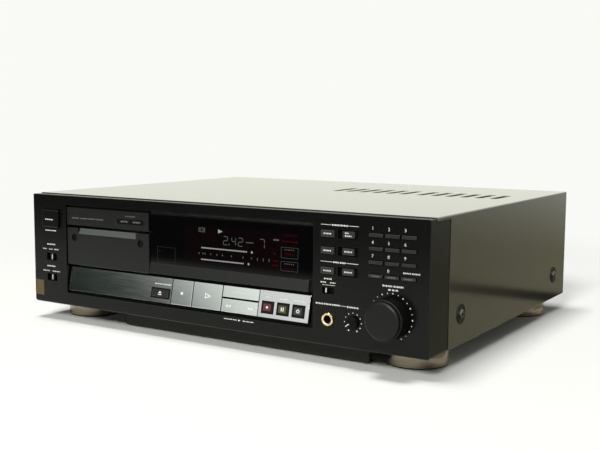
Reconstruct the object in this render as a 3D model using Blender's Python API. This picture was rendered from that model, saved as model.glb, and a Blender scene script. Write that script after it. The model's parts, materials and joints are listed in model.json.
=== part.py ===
# A full-width digital audio tape deck with a front-loading cassette drawer.
# Lengths are in metres. X runs to the deck's right, Y to its back and Z up.
# The origin is on the floor, under the middle of the whole object's box.

import math

import bmesh
import bpy
from mathutils import Matrix, Vector

MM = 0.001

# Cabinet
DECK_WIDTH = 430.0 * MM
CABINET_DEPTH = 338.8 * MM
CLEARANCE = 0.3 * MM
OVERRUN = 1.0 * MM
WELD_DISTANCE = 0.01 * MM

# Fascia, a moulded shell open at the back
FASCIA_HEIGHT = 106.3 * MM
FASCIA_DEPTH = 34.7 * MM
FASCIA_WALL = 3.5 * MM
FASCIA_CHAMFER = 0.4 * MM
FASCIA_TOP_RADIUS = 0.9 * MM
FASCIA_STEP = 0.8 * MM
FASCIA_BOTTOM_RADIUS = 2.2 * MM
FASCIA_LIP = 2.0 * MM
FASCIA_LIP_CHAMFER = 1.2 * MM
TOP_RETURN_DEPTH = 9.5 * MM
CHEEK_DROP = 3.5 * MM
BOSS_RADIUS = 2.6 * MM

# Main opening in the fascia, from the fascia's left and bottom edges
OPENING_LEFT = 45.0 * MM
OPENING_RIGHT = 103.5 * MM
OPENING_BOTTOM = 10.6 * MM
OPENING_TOP = 96.8 * MM
PANEL_LAP = 1.7 * MM
PANEL_FLANGE = 1.5 * MM

# Sheet metal
COVER_SHEET = 1.0 * MM
COVER_BEND_RADIUS = 2.0 * MM
COVER_HANG = 1.5 * MM
COVER_FRONT_GAP = 1.2 * MM
CHASSIS_SHEET = 1.2 * MM
CHASSIS_FLANGE_HEIGHT = 14.0 * MM
REAR_SHEET = 1.5 * MM
REAR_INSET = 0.5 * MM

# Cooling slots in the cover, in two groups that run front to back
VENT_SLOT_LENGTH = 45.0 * MM
VENT_SLOT_WIDTH = 5.0 * MM
VENT_PITCH = 15.2 * MM
VENT_FRONT = 202.0 * MM
VENT_GROUP_STARTS = (201.5 * MM, 106.0 * MM)
VENTS_IN_GROUP = 6

# Cooling slots in the chassis floor
FLOOR_SLOT_LENGTH = 40.0 * MM
FLOOR_SLOT_WIDTH = 4.0 * MM
FLOOR_SLOT_PITCH = 14.0 * MM
FLOOR_SLOT_FRONT = 180.0 * MM
FLOOR_SLOT_START = -30.0 * MM
FLOOR_SLOTS = 8

# Feet
FOOT_RADIUS = 26.0 * MM
FOOT_HEIGHT = 18.1 * MM
FOOT_PAD_HEIGHT = 1.2 * MM
FOOT_PAD_INSET = 0.9 * MM
FOOT_CHAMFER = 0.3 * MM
FOOT_GROOVE_DEPTH = 0.7 * MM
FOOT_GROOVE_WIDTH = 1.2 * MM
FOOT_GROOVE_DROP = 3.4 * MM
FOOT_INSET = 33.2 * MM
FRONT_FOOT_SETBACK = 49.6 * MM
REAR_FOOT_INSET = 46.1 * MM

# Stiffening channel under the front of the chassis
BRACE_LEFT = 102.8 * MM
BRACE_SETBACK = 20.5 * MM
BRACE_HEIGHT = 17.1 * MM
BRACE_FLANGE = 8.0 * MM
BRACE_SHEET = 1.5 * MM
BRACE_FOOT_GAP = 3.0 * MM

# Counter panel, above the drawer
COUNTER_SETBACK = 1.0 * MM
COUNTER_BOTTOM = 77.4 * MM
COUNTER_TOP = 94.3 * MM
DRAWER_BAY_WIDTH = 104.6 * MM
COUNTER_POCKET_WIDTH = 32.6 * MM
COUNTER_POCKET_HEIGHT = 4.8 * MM
COUNTER_POCKET_DEPTH = 0.8 * MM
COUNTER_POCKET_CENTRE = 127.6 * MM
COUNTER_KEY_LIFT = 7.4 * MM
COUNTER_KEY_WIDTH = 10.4 * MM
COUNTER_KEY_HEIGHT = 2.6 * MM
COUNTER_KEY_PITCH = 15.2 * MM

# Drawer
DRAWER_BOTTOM = 38.8 * MM
DRAWER_TOP = 74.9 * MM
DRAWER_FACE_THICKNESS = 5.0 * MM
DRAWER_CHAMFER = 0.5 * MM
DRAWER_TRAVEL = 85.0 * MM
NOTCH_LEFT = 15.2 * MM
NOTCH_WIDTH = 73.6 * MM
NOTCH_HEIGHT = 5.8 * MM
NOTCH_DEPTH = 2.4 * MM
DIMPLE_RADIUS = 3.6 * MM
DIMPLE_DEPTH = 1.2 * MM
DIMPLE_INSET = 10.0 * MM
DIMPLE_DROP = 9.4 * MM
TRAY_WIDTH = 84.0 * MM
TRAY_LENGTH = 111.0 * MM
TRAY_BOTTOM = 46.0 * MM
TRAY_HEIGHT = 15.0 * MM
WELL_WIDTH = 75.0 * MM
WELL_LENGTH = 56.0 * MM
WELL_DEPTH = 11.0 * MM
WELL_FRONT = 9.0 * MM
WELL_RADIUS = 2.0 * MM
HUB_HOLE_RADIUS = 7.0 * MM
HUB_HOLE_PITCH = 30.0 * MM
RUNNER_GROOVE_DEPTH = 2.1 * MM
RUNNER_GROOVE_HEIGHT = 3.6 * MM
RUNNER_GROOVE_LIFT = 5.7 * MM

# Rack and pinion that drive the drawer
GEAR_MODULE = 1.0 * MM
PINION_TEETH = 16
PRESSURE_ANGLE = math.radians(20.0)
ADDENDUM_SHARE = 0.9
DEDENDUM_SHARE = 1.25
GEAR_BACKLASH = 0.3 * MM
PINION_THICKNESS = 4.2 * MM
PINION_BORE_RADIUS = 2.3 * MM
PINION_SETBACK = 24.5 * MM
RACK_OFFSET = 24.0 * MM
RACK_BODY = 4.0 * MM
RACK_DEPTH = 5.0 * MM
RACK_TEETH = 31
FLANK_SHARES = (0.0, 0.45, 1.0)

# Tape mechanism frame, which carries the drawer
FRAME_WALL = 2.5 * MM
FRAME_FLOOR = 1.5 * MM
FRAME_FRONT = 14.5 * MM
FRAME_LENGTH = 205.0 * MM
FRAME_FLOOR_LEVEL = 37.2 * MM
FRAME_POST = 9.0 * MM
FRAME_POST_INSET = 12.0 * MM
DRUM_RADIUS = 15.0 * MM
DRUM_BASE_HEIGHT = 9.0 * MM
DRUM_HEIGHT = 8.5 * MM
DRUM_SETBACK = 168.0 * MM
DRUM_TILT = math.radians(6.4)
DRUM_HUB_RADIUS = 5.0 * MM
DRUM_HUB_HEIGHT = 3.0 * MM

# Display window and the tube behind it
WINDOW_GAP = 0.5 * MM
WINDOW_RIGHT_GAP = 2.3 * MM
WINDOW_TOP = 93.9 * MM
WINDOW_TOP_SETBACK = 3.6 * MM
WINDOW_EDGE = 49.3 * MM
WINDOW_EDGE_SETBACK = 2.2 * MM
SILL_BOTTOM = 39.6 * MM
SILL_SETBACK = 0.6 * MM
WINDOW_BACK = 6.6 * MM
SILL_THICKNESS = 3.0 * MM
TUBE_LEFT_MARGIN = 25.0 * MM
TUBE_RIGHT_MARGIN = 22.8 * MM
TUBE_BOTTOM = 54.0 * MM
TUBE_HEIGHT = 32.0 * MM
TUBE_THICKNESS = 5.0 * MM
TUBE_TIP_RADIUS = 2.5 * MM
TUBE_TIP_LENGTH = 5.0 * MM

# Control strip, which leans back
STRIP_LEFT = 46.7 * MM
STRIP_RIGHT = 108.4 * MM
STRIP_BOTTOM = 13.7 * MM
STRIP_RISE = 22.3 * MM
STRIP_BOTTOM_SETBACK = 0.2 * MM
STRIP_LEAN = 4.8 * MM
STRIP_PLATE = 4.8 * MM
STRIP_BED = 1.2 * MM
STRIP_BED_DROP = 3.0 * MM
STRIP_BED_RISE = 3.4 * MM
KEY_TRAVEL = 1.2 * MM
KEY_PLATE = 3.0 * MM
KEY_GAP = 0.7 * MM
STOP_KEY_START = 254.5 * MM
STOP_KEY_WIDTH = 23.4 * MM
PLAY_KEY_WIDTH = 32.0 * MM
SEARCH_KEY_WIDTH = 38.4 * MM
SEARCH_SPLIT_GAP = 1.4 * MM
SEARCH_SPLIT_LIFT = 0.7 * MM
STEM_WIDTH = 6.0 * MM
STEM_HEIGHT = 3.0 * MM
STEM_FOOT = 1.0 * MM
EJECT_CENTRE = 267.4 * MM
EJECT_WIDTH = 19.6 * MM
EJECT_HEIGHT = 7.0 * MM
EJECT_LIFT = -3.0 * MM
SMALL_BUTTON_WIDTH = 9.8 * MM
SMALL_BUTTON_HEIGHT = 8.2 * MM
SMALL_BUTTON_LIFT = -2.8 * MM
SMALL_BUTTON_PITCH = 15.4 * MM
FIRST_SMALL_BUTTON = 149.3 * MM
BUTTON_PROUD = 1.0 * MM
BUTTON_CHAMFER = 0.4 * MM

# Keys in the fascia
KEY_FLANGE = 0.8 * MM
KEY_FLANGE_THICKNESS = 1.2 * MM
KEY_REAR = 7.7 * MM
KEY_CHAMFER = 0.3 * MM
KEY_STEM_SHARE = 0.4
NUMBER_KEY_WIDTH = 12.2 * MM
NUMBER_KEY_HEIGHT = 2.8 * MM
NUMBER_KEY_PROUD = 1.6 * MM
NUMBER_KEY_RIGHT = 17.55 * MM
NUMBER_KEY_TOP_ROW = 90.9 * MM
NUMBER_KEY_COLUMN_PITCH = 14.15 * MM
NUMBER_KEY_ROW_PITCH = 10.65 * MM
ID_KEY_WIDTH = 12.6 * MM
ID_KEY_HEIGHT = 5.6 * MM
ID_KEY_PROUD = 1.5 * MM
ID_KEY_COLUMN = 89.3 * MM
GUARDED_KEY_WIDTH = 10.7 * MM
GUARDED_KEY_COLUMN = 71.0 * MM
ID_ROW_HEIGHTS = (89.3 * MM, 75.7 * MM, 59.4 * MM)
GUARD_WELL_WIDTH = 18.4 * MM
GUARD_WELL_MARGIN = 0.8 * MM
GUARD_WELL_DEPTH = 3.2 * MM
GUARD_WELL_FLOOR = 2.5 * MM
GUARD_WELL_WALL = 1.5 * MM

# Power button
POWER_CENTRE = 25.6 * MM
POWER_HEIGHT_UP = 82.2 * MM
POWER_WIDTH = 21.8 * MM
POWER_HEIGHT = 17.2 * MM
POWER_PROUD = 3.1 * MM
POWER_CHAMFER = 0.7 * MM
POWER_TRAVEL = 2.5 * MM
POWER_REAR = 12.0 * MM

# Slide switches
SWITCH_CENTRE = 24.4 * MM
SWITCH_SLOT_WIDTH = 13.6 * MM
SWITCH_SLOT_HEIGHT = 7.0 * MM
TIMER_SWITCH_LEVEL = 44.3 * MM
INPUT_SWITCH_LEVEL = 24.0 * MM
SWITCH_NUB_WIDTH = 5.0 * MM
SWITCH_NUB_GAP = 0.4 * MM
SWITCH_NUB_SETBACK = 0.5 * MM
SWITCH_STEP = 3.0 * MM
SWITCH_PLATE_LAP = 5.0 * MM
SWITCH_PLATE_THICKNESS = 1.2 * MM
SKIP_CENTRE = 89.0 * MM
SKIP_LEVEL = 43.0 * MM
SKIP_SLOT_WIDTH = 11.2 * MM
SKIP_SLOT_HEIGHT = 5.2 * MM
SKIP_NUB_WIDTH = 3.6 * MM
SKIP_STEP = 2.3 * MM

# Headphone socket
SOCKET_COLUMN = 89.5 * MM
SOCKET_LEVEL = 19.5 * MM
SOCKET_BORE_RADIUS = 3.25 * MM
SOCKET_RIM_RADIUS = 5.7 * MM
SOCKET_RIM_PROUD = 1.3 * MM
SOCKET_BARREL_RADIUS = 4.6 * MM
SOCKET_BODY_RADIUS = 7.5 * MM
SOCKET_BODY_LENGTH = 26.0 * MM
SOCKET_END_WALL = 1.6 * MM

# Headphone level knob
PHONES_KNOB_COLUMN = 66.0 * MM
PHONES_KNOB_LEVEL = 19.6 * MM
PHONES_KNOB_RADIUS = 5.0 * MM
PHONES_KNOB_PROUD = 4.6 * MM
KNOB_STANDOFF = 0.5 * MM
SHAFT_RADIUS = 3.0 * MM
SHAFT_REAR = 8.4 * MM

# Recording level knobs, one inside the other
LEVEL_COLUMN = 32.7 * MM
LEVEL_LEVEL = 27.2 * MM
LEVEL_KNOB_RADIUS = 14.8 * MM
LEVEL_KNOB_PROUD = 16.6 * MM
LEVEL_BEVEL_WIDTH = 1.8 * MM
LEVEL_BEVEL_DEPTH = 1.0 * MM
LEVEL_RING_RADIUS = 16.3 * MM
LEVEL_RING_PROUD = 13.6 * MM
LEVEL_RING_CHAMFER = 0.6 * MM
LEVEL_RING_GAP = 0.4 * MM
LEVEL_SLEEVE_WALL = 1.6 * MM
SHAFT_CLEARANCE = 0.3 * MM

# Key board behind the right end of the fascia
BOARD_FRONT = 12.0 * MM
BOARD_THICKNESS = 1.6 * MM
BOARD_WIDTH = 94.0 * MM
BOARD_RIGHT = 7.0 * MM
BOARD_BOTTOM = 8.0 * MM
BOARD_TOP = 100.0 * MM
BOARD_STEP_LEVEL = 30.0 * MM
BOARD_STEP_WIDTH = 20.0 * MM
BOARD_BOSS_INSET = 4.0 * MM
SWITCH_BODY = 6.0 * MM
SWITCH_BODY_FRONT = 9.1 * MM
POT_BODY = 18.0 * MM
SMALL_POT_BODY = 9.0 * MM
SOLDER_LAP = 0.5 * MM

# Main board on the chassis floor
MAIN_BOARD_FRAME_GAP = 10.6 * MM
MAIN_BOARD_RIGHT = 117.0 * MM
MAIN_BOARD_FRONT = 55.0 * MM
MAIN_BOARD_REAR_INSET = 21.8 * MM
MAIN_BOARD_LEVEL = 8.0 * MM
MAIN_BOARD_POST = 4.0 * MM
MAIN_BOARD_POST_INSET = 6.0 * MM
CAPACITOR_RADIUS = 9.0 * MM
CAPACITOR_HEIGHT = 34.0 * MM
CAPACITOR_PITCH = 24.0 * MM
CAPACITOR_SHARES = (0.78, 0.80)
SHIELD_WIDTH_SHARE = 0.44
SHIELD_LENGTH = 90.0 * MM
SHIELD_HEIGHT = 18.0 * MM
SHIELD_SHARES = (0.22, 0.12)
HEATSINK_LENGTH = 60.0 * MM
HEATSINK_HEIGHT = 32.0 * MM
HEATSINK_FIN = 1.6 * MM
HEATSINK_FIN_DEPTH = 9.0 * MM
HEATSINK_FIN_PITCH = 8.0 * MM
HEATSINK_SHARES = (0.12, 0.62)
HEATSINK_FINS = 7

# Power transformer
TRANSFORMER_COLUMN = 60.0 * MM
TRANSFORMER_REAR_INSET = 103.8 * MM
CORE_WIDTH = 64.0 * MM
CORE_LENGTH = 34.0 * MM
CORE_HEIGHT = 52.0 * MM
COIL_WIDTH = 42.0 * MM
COIL_LENGTH = 56.0 * MM
COIL_HEIGHT = 34.0 * MM
COIL_CHAMFER = 5.0 * MM
TRANSFORMER_BASE_WIDTH = 84.0 * MM
TRANSFORMER_BASE_HEIGHT = 2.0 * MM

# Sockets on the rear panel
RCA_RADIUS = 4.1 * MM
RCA_BORE_RADIUS = 1.7 * MM
RCA_REACH = 7.5 * MM
RCA_BORE_DEPTH = 7.0 * MM
RCA_COLLAR_RADIUS = 5.4 * MM
RCA_COLLAR = 1.5 * MM
JACK_COLUMNS = (62.0 * MM, 84.0 * MM, 12.0 * MM)
OPTICAL_COLUMN = -12.0 * MM
OPTICAL_WIDTH = 9.6 * MM
OPTICAL_PROUD = 1.6 * MM
OPTICAL_PLUG = 6.0 * MM
JACK_LEVELS = (38.0 * MM, 60.0 * MM)
JACK_BLOCK_THICKNESS = 12.0 * MM
JACK_BLOCK_MARGIN = 9.0 * MM

# Mains inlet
INLET_COLUMN = 50.0 * MM
INLET_LEVEL = 30.0 * MM
INLET_WIDTH = 24.0 * MM
INLET_HEIGHT = 14.0 * MM
INLET_FLANGE = 2.5 * MM
INLET_FLANGE_THICKNESS = 2.0 * MM
INLET_DEPTH = 18.0 * MM
INLET_RECESS_WIDTH = 16.4 * MM
INLET_RECESS_HEIGHT = 8.6 * MM
INLET_RECESS_DEPTH = 12.0 * MM
INLET_PIN_RADIUS = 1.2 * MM
INLET_PIN_PITCH = 8.6 * MM
INLET_PIN_LENGTH = 9.0 * MM

# Facets around round pieces
KNOB_FACETS = 36
FOOT_FACETS = 28
SMALL_FACETS = 16
BOSS_FACETS = 12
CORNER_STEPS = 3

# Places worked out from the sizes above
FLOOR_GAP = FOOT_HEIGHT + CLEARANCE
FACE_Y = (LEVEL_KNOB_PROUD - CABINET_DEPTH - RCA_REACH) / 2
BAY_LEFT = OPENING_LEFT + CLEARANCE
BAY_RIGHT = BAY_LEFT + DRAWER_BAY_WIDTH
BAY_CENTRE = BAY_LEFT + DRAWER_BAY_WIDTH / 2
PANEL_SEAT = FASCIA_WALL + CLEARANCE
STRIP_TILT = math.atan2(STRIP_LEAN, STRIP_RISE)
STRIP_HEIGHT = math.hypot(STRIP_LEAN, STRIP_RISE)
PINION_RADIUS = GEAR_MODULE * PINION_TEETH / 2
GEAR_ADDENDUM = GEAR_MODULE * ADDENDUM_SHARE
GEAR_DEDENDUM = GEAR_MODULE * DEDENDUM_SHARE
CIRCULAR_PITCH = math.pi * GEAR_MODULE
REAR_FACE = CABINET_DEPTH - REAR_INSET
CHASSIS_FRONT = FASCIA_DEPTH + CLEARANCE
CHASSIS_REAR = REAR_FACE - REAR_SHEET - CLEARANCE


def left(distance):
    """X of a place measured from the deck's left side."""
    return -DECK_WIDTH / 2 + distance


def right(distance):
    """X of a place measured from the deck's right side."""
    return DECK_WIDTH / 2 - distance


def back(distance):
    """Y of a place measured back from the fascia's face."""
    return FACE_Y + distance


def up(distance):
    """Z of a place measured up from the fascia's bottom edge."""
    return FLOOR_GAP + distance


def clear_scene():
    for old in list(bpy.data.objects):
        bpy.data.objects.remove(old, do_unlink=True)


def make_material(name, colour, roughness, metallic=0.0):
    """A Principled finish. The colour is linear red, green and blue."""
    material = bpy.data.materials.new(name)
    material.use_nodes = True
    shader = material.node_tree.nodes["Principled BSDF"]
    shader.inputs["Base Color"].default_value = (*colour, 1.0)
    shader.inputs["Roughness"].default_value = roughness
    shader.inputs["Metallic"].default_value = metallic
    return material


def make_object(name, shape, material=None, place=None, tilt=0.0):
    """Turns a bmesh into a named object, with its faces pointing out."""
    bmesh.ops.recalc_face_normals(shape, faces=shape.faces)
    mesh = bpy.data.meshes.new(name)
    shape.to_mesh(mesh)
    shape.free()
    result = bpy.data.objects.new(name, mesh)
    bpy.context.scene.collection.objects.link(result)
    if material is not None:
        mesh.materials.append(material)
    if place is not None:
        result.location = place
    result.rotation_euler.x = tilt
    return result


def smooth(piece, angle=math.radians(35.0)):
    piece.data.shade_smooth()
    piece.data.set_sharp_from_angle(angle=angle)
    return piece


def boolean(piece, tool, operation):
    """Cuts the tool from a piece or joins it on, and hides the tool."""
    modifier = piece.modifiers.new(operation.lower(), "BOOLEAN")
    modifier.operation = operation
    modifier.solver = "EXACT"
    modifier.object = tool
    tool.hide_render = True
    tool.display_type = "WIRE"
    return piece


def add_loft(shape, rings):
    """Adds a closed solid through rings of the same number of points."""
    loops = [[shape.verts.new(point) for point in ring] for ring in rings]
    count = len(loops[0])
    for first, second in zip(loops, loops[1:]):
        for index in range(count):
            following = (index + 1) % count
            shape.faces.new((first[index], first[following], second[following], second[index]))
    shape.faces.new(loops[0])
    shape.faces.new(reversed(loops[-1]))


def flat_ring(y, x_low, x_high, z_low, z_high):
    """A rectangle that faces along Y."""
    return [(x_low, y, z_low), (x_high, y, z_low), (x_high, y, z_high), (x_low, y, z_high)]


def centred_ring(y, width, height):
    return flat_ring(y, -width / 2, width / 2, -height / 2, height / 2)


def add_box(shape, x_low, x_high, y_low, y_high, z_low, z_high):
    add_loft(shape, [flat_ring(y_low, x_low, x_high, z_low, z_high),
                     flat_ring(y_high, x_low, x_high, z_low, z_high)])


def add_prism(shape, outline, axis, start, end):
    """Adds a solid by running a flat outline along one axis."""
    def point(first, second, along):
        if axis == "x":
            return (along, first, second)
        if axis == "y":
            return (first, along, second)
        return (first, second, along)

    add_loft(shape, [[point(*place, start) for place in outline],
                     [point(*place, end) for place in outline]])


def add_turned(shape, profile, direction, centre, facets):
    """Spins a profile of (distance along, radius) points round an axis."""
    direction = Vector(direction).normalized()
    across = direction.orthogonal().normalized()
    centre = Vector(centre)
    verts = [shape.verts.new(centre + direction * along + across * radius)
             for along, radius in profile]
    edges = [shape.edges.new(pair) for pair in zip(verts, verts[1:])]
    before = set(shape.verts) - set(verts)
    bmesh.ops.spin(shape, geom=verts + edges, cent=centre, axis=direction,
                   angle=math.tau, steps=facets, use_merge=True)
    added = [vert for vert in shape.verts if vert not in before]
    bmesh.ops.remove_doubles(shape, verts=added, dist=WELD_DISTANCE)


def rounded_outline(width, height, radius, steps=CORNER_STEPS):
    """Points of a rounded rectangle about the origin, going round once."""
    points = []
    corners = ((1, 1, 0.0), (-1, 1, 0.25), (-1, -1, 0.5), (1, -1, 0.75))
    for side, rise, turn in corners:
        centre_x = side * (width / 2 - radius)
        centre_z = rise * (height / 2 - radius)
        for step in range(steps + 1):
            angle = math.tau * (turn + 0.25 * step / steps)
            points.append((centre_x + radius * math.cos(angle),
                           centre_z + radius * math.sin(angle)))
    return points


def fascia_outline(inset, lip_inset):
    """The fascia's edge from the front, a step below the cover, with round lower corners."""
    corners = ((1, 1, FASCIA_TOP_RADIUS, 0.0), (-1, 1, FASCIA_TOP_RADIUS, 0.25),
               (-1, -1, FASCIA_BOTTOM_RADIUS, 0.5), (1, -1, FASCIA_BOTTOM_RADIUS, 0.75))
    points = []
    for side, rise, radius, turn in corners:
        radius -= inset
        top = up(FASCIA_HEIGHT - FASCIA_STEP) - inset
        edge = top if rise > 0 else up(-FASCIA_LIP) + lip_inset
        centre_x = side * (DECK_WIDTH / 2 - inset - radius)
        centre_z = edge - rise * radius
        for step in range(CORNER_STEPS + 1):
            angle = math.tau * (turn + 0.25 * step / CORNER_STEPS)
            points.append((centre_x + radius * math.cos(angle),
                           centre_z + radius * math.sin(angle)))
    return points


def id_key_heights():
    return [up(height) for height in ID_ROW_HEIGHTS]


def number_key_places():
    """X and Z of the twelve number keys, row by row from the top left."""
    places = []
    for row in range(4):
        for column in range(3):
            x = right(NUMBER_KEY_RIGHT + (2 - column) * NUMBER_KEY_COLUMN_PITCH)
            places.append((x, up(NUMBER_KEY_TOP_ROW - row * NUMBER_KEY_ROW_PITCH)))
    return places


def board_bosses():
    """X and Z of the four bosses that carry the key board."""
    low = up(BOARD_BOTTOM + BOARD_BOSS_INSET)
    high = up(BOARD_TOP - BOARD_BOSS_INSET)
    near = right(BOARD_RIGHT + BOARD_BOSS_INSET)
    far = right(BOARD_RIGHT + BOARD_WIDTH - BOARD_BOSS_INSET)
    step = up(BOARD_STEP_LEVEL + BOARD_BOSS_INSET)
    return [(near, low), (near, high), (far, step), (far, high)]


def hole(shape, centre_x, centre_z, width, height, depth_low=None, depth_high=None):
    """Adds a rectangular cutter through the fascia wall."""
    low = back(-OVERRUN) if depth_low is None else depth_low
    high = back(FASCIA_WALL + OVERRUN) if depth_high is None else depth_high
    add_box(shape, centre_x - width / 2, centre_x + width / 2, low, high,
            centre_z - height / 2, centre_z + height / 2)


def build_fascia(material):
    """The moulded front with its cheeks, key holes, wells and board bosses."""
    sections = ((0.0, FASCIA_CHAMFER, FASCIA_LIP_CHAMFER), (FASCIA_CHAMFER, 0.0, FASCIA_LIP_CHAMFER / 2),
                (FASCIA_LIP_CHAMFER, 0.0, 0.0), (FASCIA_DEPTH, 0.0, 0.0))
    rings = []
    for distance, inset, lip_inset in sections:
        rings.append([(x, back(distance), z) for x, z in fascia_outline(inset, lip_inset)])
    shell = bmesh.new()
    add_loft(shell, rings)
    fascia = make_object("fascia", shell, material)

    hollow = bmesh.new()
    add_box(hollow, left(FASCIA_WALL), right(FASCIA_WALL), back(FASCIA_WALL),
            back(FASCIA_DEPTH + OVERRUN), up(FASCIA_WALL), up(FASCIA_HEIGHT - FASCIA_WALL))
    add_box(hollow, left(FASCIA_WALL), right(FASCIA_WALL), back(FASCIA_WALL),
            back(FASCIA_DEPTH + OVERRUN), up(-FASCIA_LIP - OVERRUN), up(0.0))
    boolean(fascia, make_object("fascia_hollow", hollow), "DIFFERENCE")

    rebate = bmesh.new()
    add_box(rebate, left(-OVERRUN), right(-OVERRUN), back(TOP_RETURN_DEPTH),
            back(FASCIA_DEPTH + OVERRUN), up(FASCIA_HEIGHT - CHEEK_DROP),
            up(FASCIA_HEIGHT + OVERRUN))
    boolean(fascia, make_object("fascia_rebate", rebate), "DIFFERENCE")

    bosses = bmesh.new()
    for x, z in board_bosses():
        profile = ((0.0, 0.0), (0.0, BOSS_RADIUS),
                   (BOARD_FRONT - CLEARANCE - FASCIA_WALL / 2, BOSS_RADIUS),
                   (BOARD_FRONT - CLEARANCE - FASCIA_WALL / 2, 0.0))
        add_turned(bosses, profile, (0, 1, 0), (x, back(FASCIA_WALL / 2), z), BOSS_FACETS)
    for height in id_key_heights():
        hole(bosses, right(GUARDED_KEY_COLUMN), height,
             GUARD_WELL_WIDTH + 2 * GUARD_WELL_WALL,
             ID_KEY_HEIGHT + 2 * GUARD_WELL_MARGIN + 2 * GUARD_WELL_WALL,
             back(FASCIA_WALL / 2), back(GUARD_WELL_DEPTH + GUARD_WELL_FLOOR))
    boolean(fascia, make_object("fascia_bosses", bosses), "UNION")

    holes = bmesh.new()
    add_box(holes, left(OPENING_LEFT), right(OPENING_RIGHT), back(-OVERRUN),
            back(FASCIA_WALL + OVERRUN), up(OPENING_BOTTOM), up(OPENING_TOP))
    hole(holes, left(POWER_CENTRE), up(POWER_HEIGHT_UP),
         POWER_WIDTH + 2 * CLEARANCE, POWER_HEIGHT + 2 * CLEARANCE)
    for level in (TIMER_SWITCH_LEVEL, INPUT_SWITCH_LEVEL):
        hole(holes, left(SWITCH_CENTRE), up(level), SWITCH_SLOT_WIDTH, SWITCH_SLOT_HEIGHT)
    hole(holes, right(SKIP_CENTRE), up(SKIP_LEVEL), SKIP_SLOT_WIDTH, SKIP_SLOT_HEIGHT)
    for x, z in number_key_places():
        hole(holes, x, z, NUMBER_KEY_WIDTH + 2 * CLEARANCE, NUMBER_KEY_HEIGHT + 2 * CLEARANCE)
    for height in id_key_heights():
        hole(holes, right(ID_KEY_COLUMN), height,
             ID_KEY_WIDTH + 2 * CLEARANCE, ID_KEY_HEIGHT + 2 * CLEARANCE)
        hole(holes, right(GUARDED_KEY_COLUMN), height, GUARD_WELL_WIDTH,
             ID_KEY_HEIGHT + 2 * GUARD_WELL_MARGIN, None, back(GUARD_WELL_DEPTH))
    boolean(fascia, make_object("fascia_holes", holes), "DIFFERENCE")

    deep = bmesh.new()
    for height in id_key_heights():
        hole(deep, right(GUARDED_KEY_COLUMN), height, GUARDED_KEY_WIDTH + 2 * CLEARANCE,
             ID_KEY_HEIGHT + 2 * CLEARANCE, back(GUARD_WELL_DEPTH - OVERRUN),
             back(GUARD_WELL_DEPTH + GUARD_WELL_FLOOR + OVERRUN))
    rounds = ((right(SOCKET_COLUMN), up(SOCKET_LEVEL), SOCKET_BARREL_RADIUS + CLEARANCE),
              (right(PHONES_KNOB_COLUMN), up(PHONES_KNOB_LEVEL), SHAFT_RADIUS + CLEARANCE),
              (right(LEVEL_COLUMN), up(LEVEL_LEVEL), sleeve_radius() + CLEARANCE))
    for x, z, radius in rounds:
        profile = ((-OVERRUN, 0.0), (-OVERRUN, radius),
                   (FASCIA_WALL + OVERRUN, radius), (FASCIA_WALL + OVERRUN, 0.0))
        add_turned(deep, profile, (0, 1, 0), (x, back(0.0), z), SMALL_FACETS)
    boolean(fascia, make_object("fascia_bores", deep), "DIFFERENCE")
    return fascia


def cover_outline():
    """The bonnet's section, an upside-down U of bent sheet, seen from the front."""
    bottom = up(-COVER_HANG)
    top = up(FASCIA_HEIGHT)
    half = DECK_WIDTH / 2

    def side(inset, radius):
        edge = half - inset
        roof = top - inset
        points = [(edge, bottom)]
        for step in range(CORNER_STEPS + 1):
            angle = math.pi / 2 * step / CORNER_STEPS
            points.append((edge - radius + radius * math.cos(angle),
                           roof - radius + radius * math.sin(angle)))
        return points

    outer = side(0.0, COVER_BEND_RADIUS)
    inner = side(COVER_SHEET, COVER_BEND_RADIUS - COVER_SHEET)
    outer += [(-x, z) for x, z in reversed(outer)]
    inner += [(-x, z) for x, z in reversed(inner)]
    return outer + inner[::-1]


def add_slot(shape, x, y_low, length, width, z_low, z_high):
    """Adds a cutter for a slot with round ends that runs along Y."""
    centre_y = y_low + length / 2
    outline = [(x + px, centre_y + py) for px, py in
               rounded_outline(width, length, width / 2 - WELD_DISTANCE, CORNER_STEPS - 1)]
    add_prism(shape, outline, "z", z_low, z_high)


def build_top_cover(material):
    """The bonnet, cut back at its sides round the fascia's cheeks, and slotted."""
    start = back(TOP_RETURN_DEPTH + COVER_FRONT_GAP)
    sheet = bmesh.new()
    add_prism(sheet, cover_outline(), "y", start, back(CABINET_DEPTH))
    cover = make_object("top_cover", sheet, material)
    cuts = bmesh.new()
    inside = COVER_SHEET + CLEARANCE
    cheek_top = up(FASCIA_HEIGHT - CHEEK_DROP + CLEARANCE)
    cheek_back = back(FASCIA_DEPTH + COVER_FRONT_GAP)
    add_box(cuts, left(-OVERRUN), left(inside), start - OVERRUN, cheek_back,
            up(-COVER_HANG - OVERRUN), cheek_top)
    add_box(cuts, right(inside), right(-OVERRUN), start - OVERRUN, cheek_back,
            up(-COVER_HANG - OVERRUN), cheek_top)
    for first in VENT_GROUP_STARTS:
        for index in range(VENTS_IN_GROUP):
            add_slot(cuts, right(first) + index * VENT_PITCH, back(VENT_FRONT), VENT_SLOT_LENGTH,
                     VENT_SLOT_WIDTH, up(FASCIA_HEIGHT - COVER_SHEET - OVERRUN),
                     up(FASCIA_HEIGHT + OVERRUN))
    boolean(cover, make_object("cover_cuts", cuts), "DIFFERENCE")
    return cover


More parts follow.
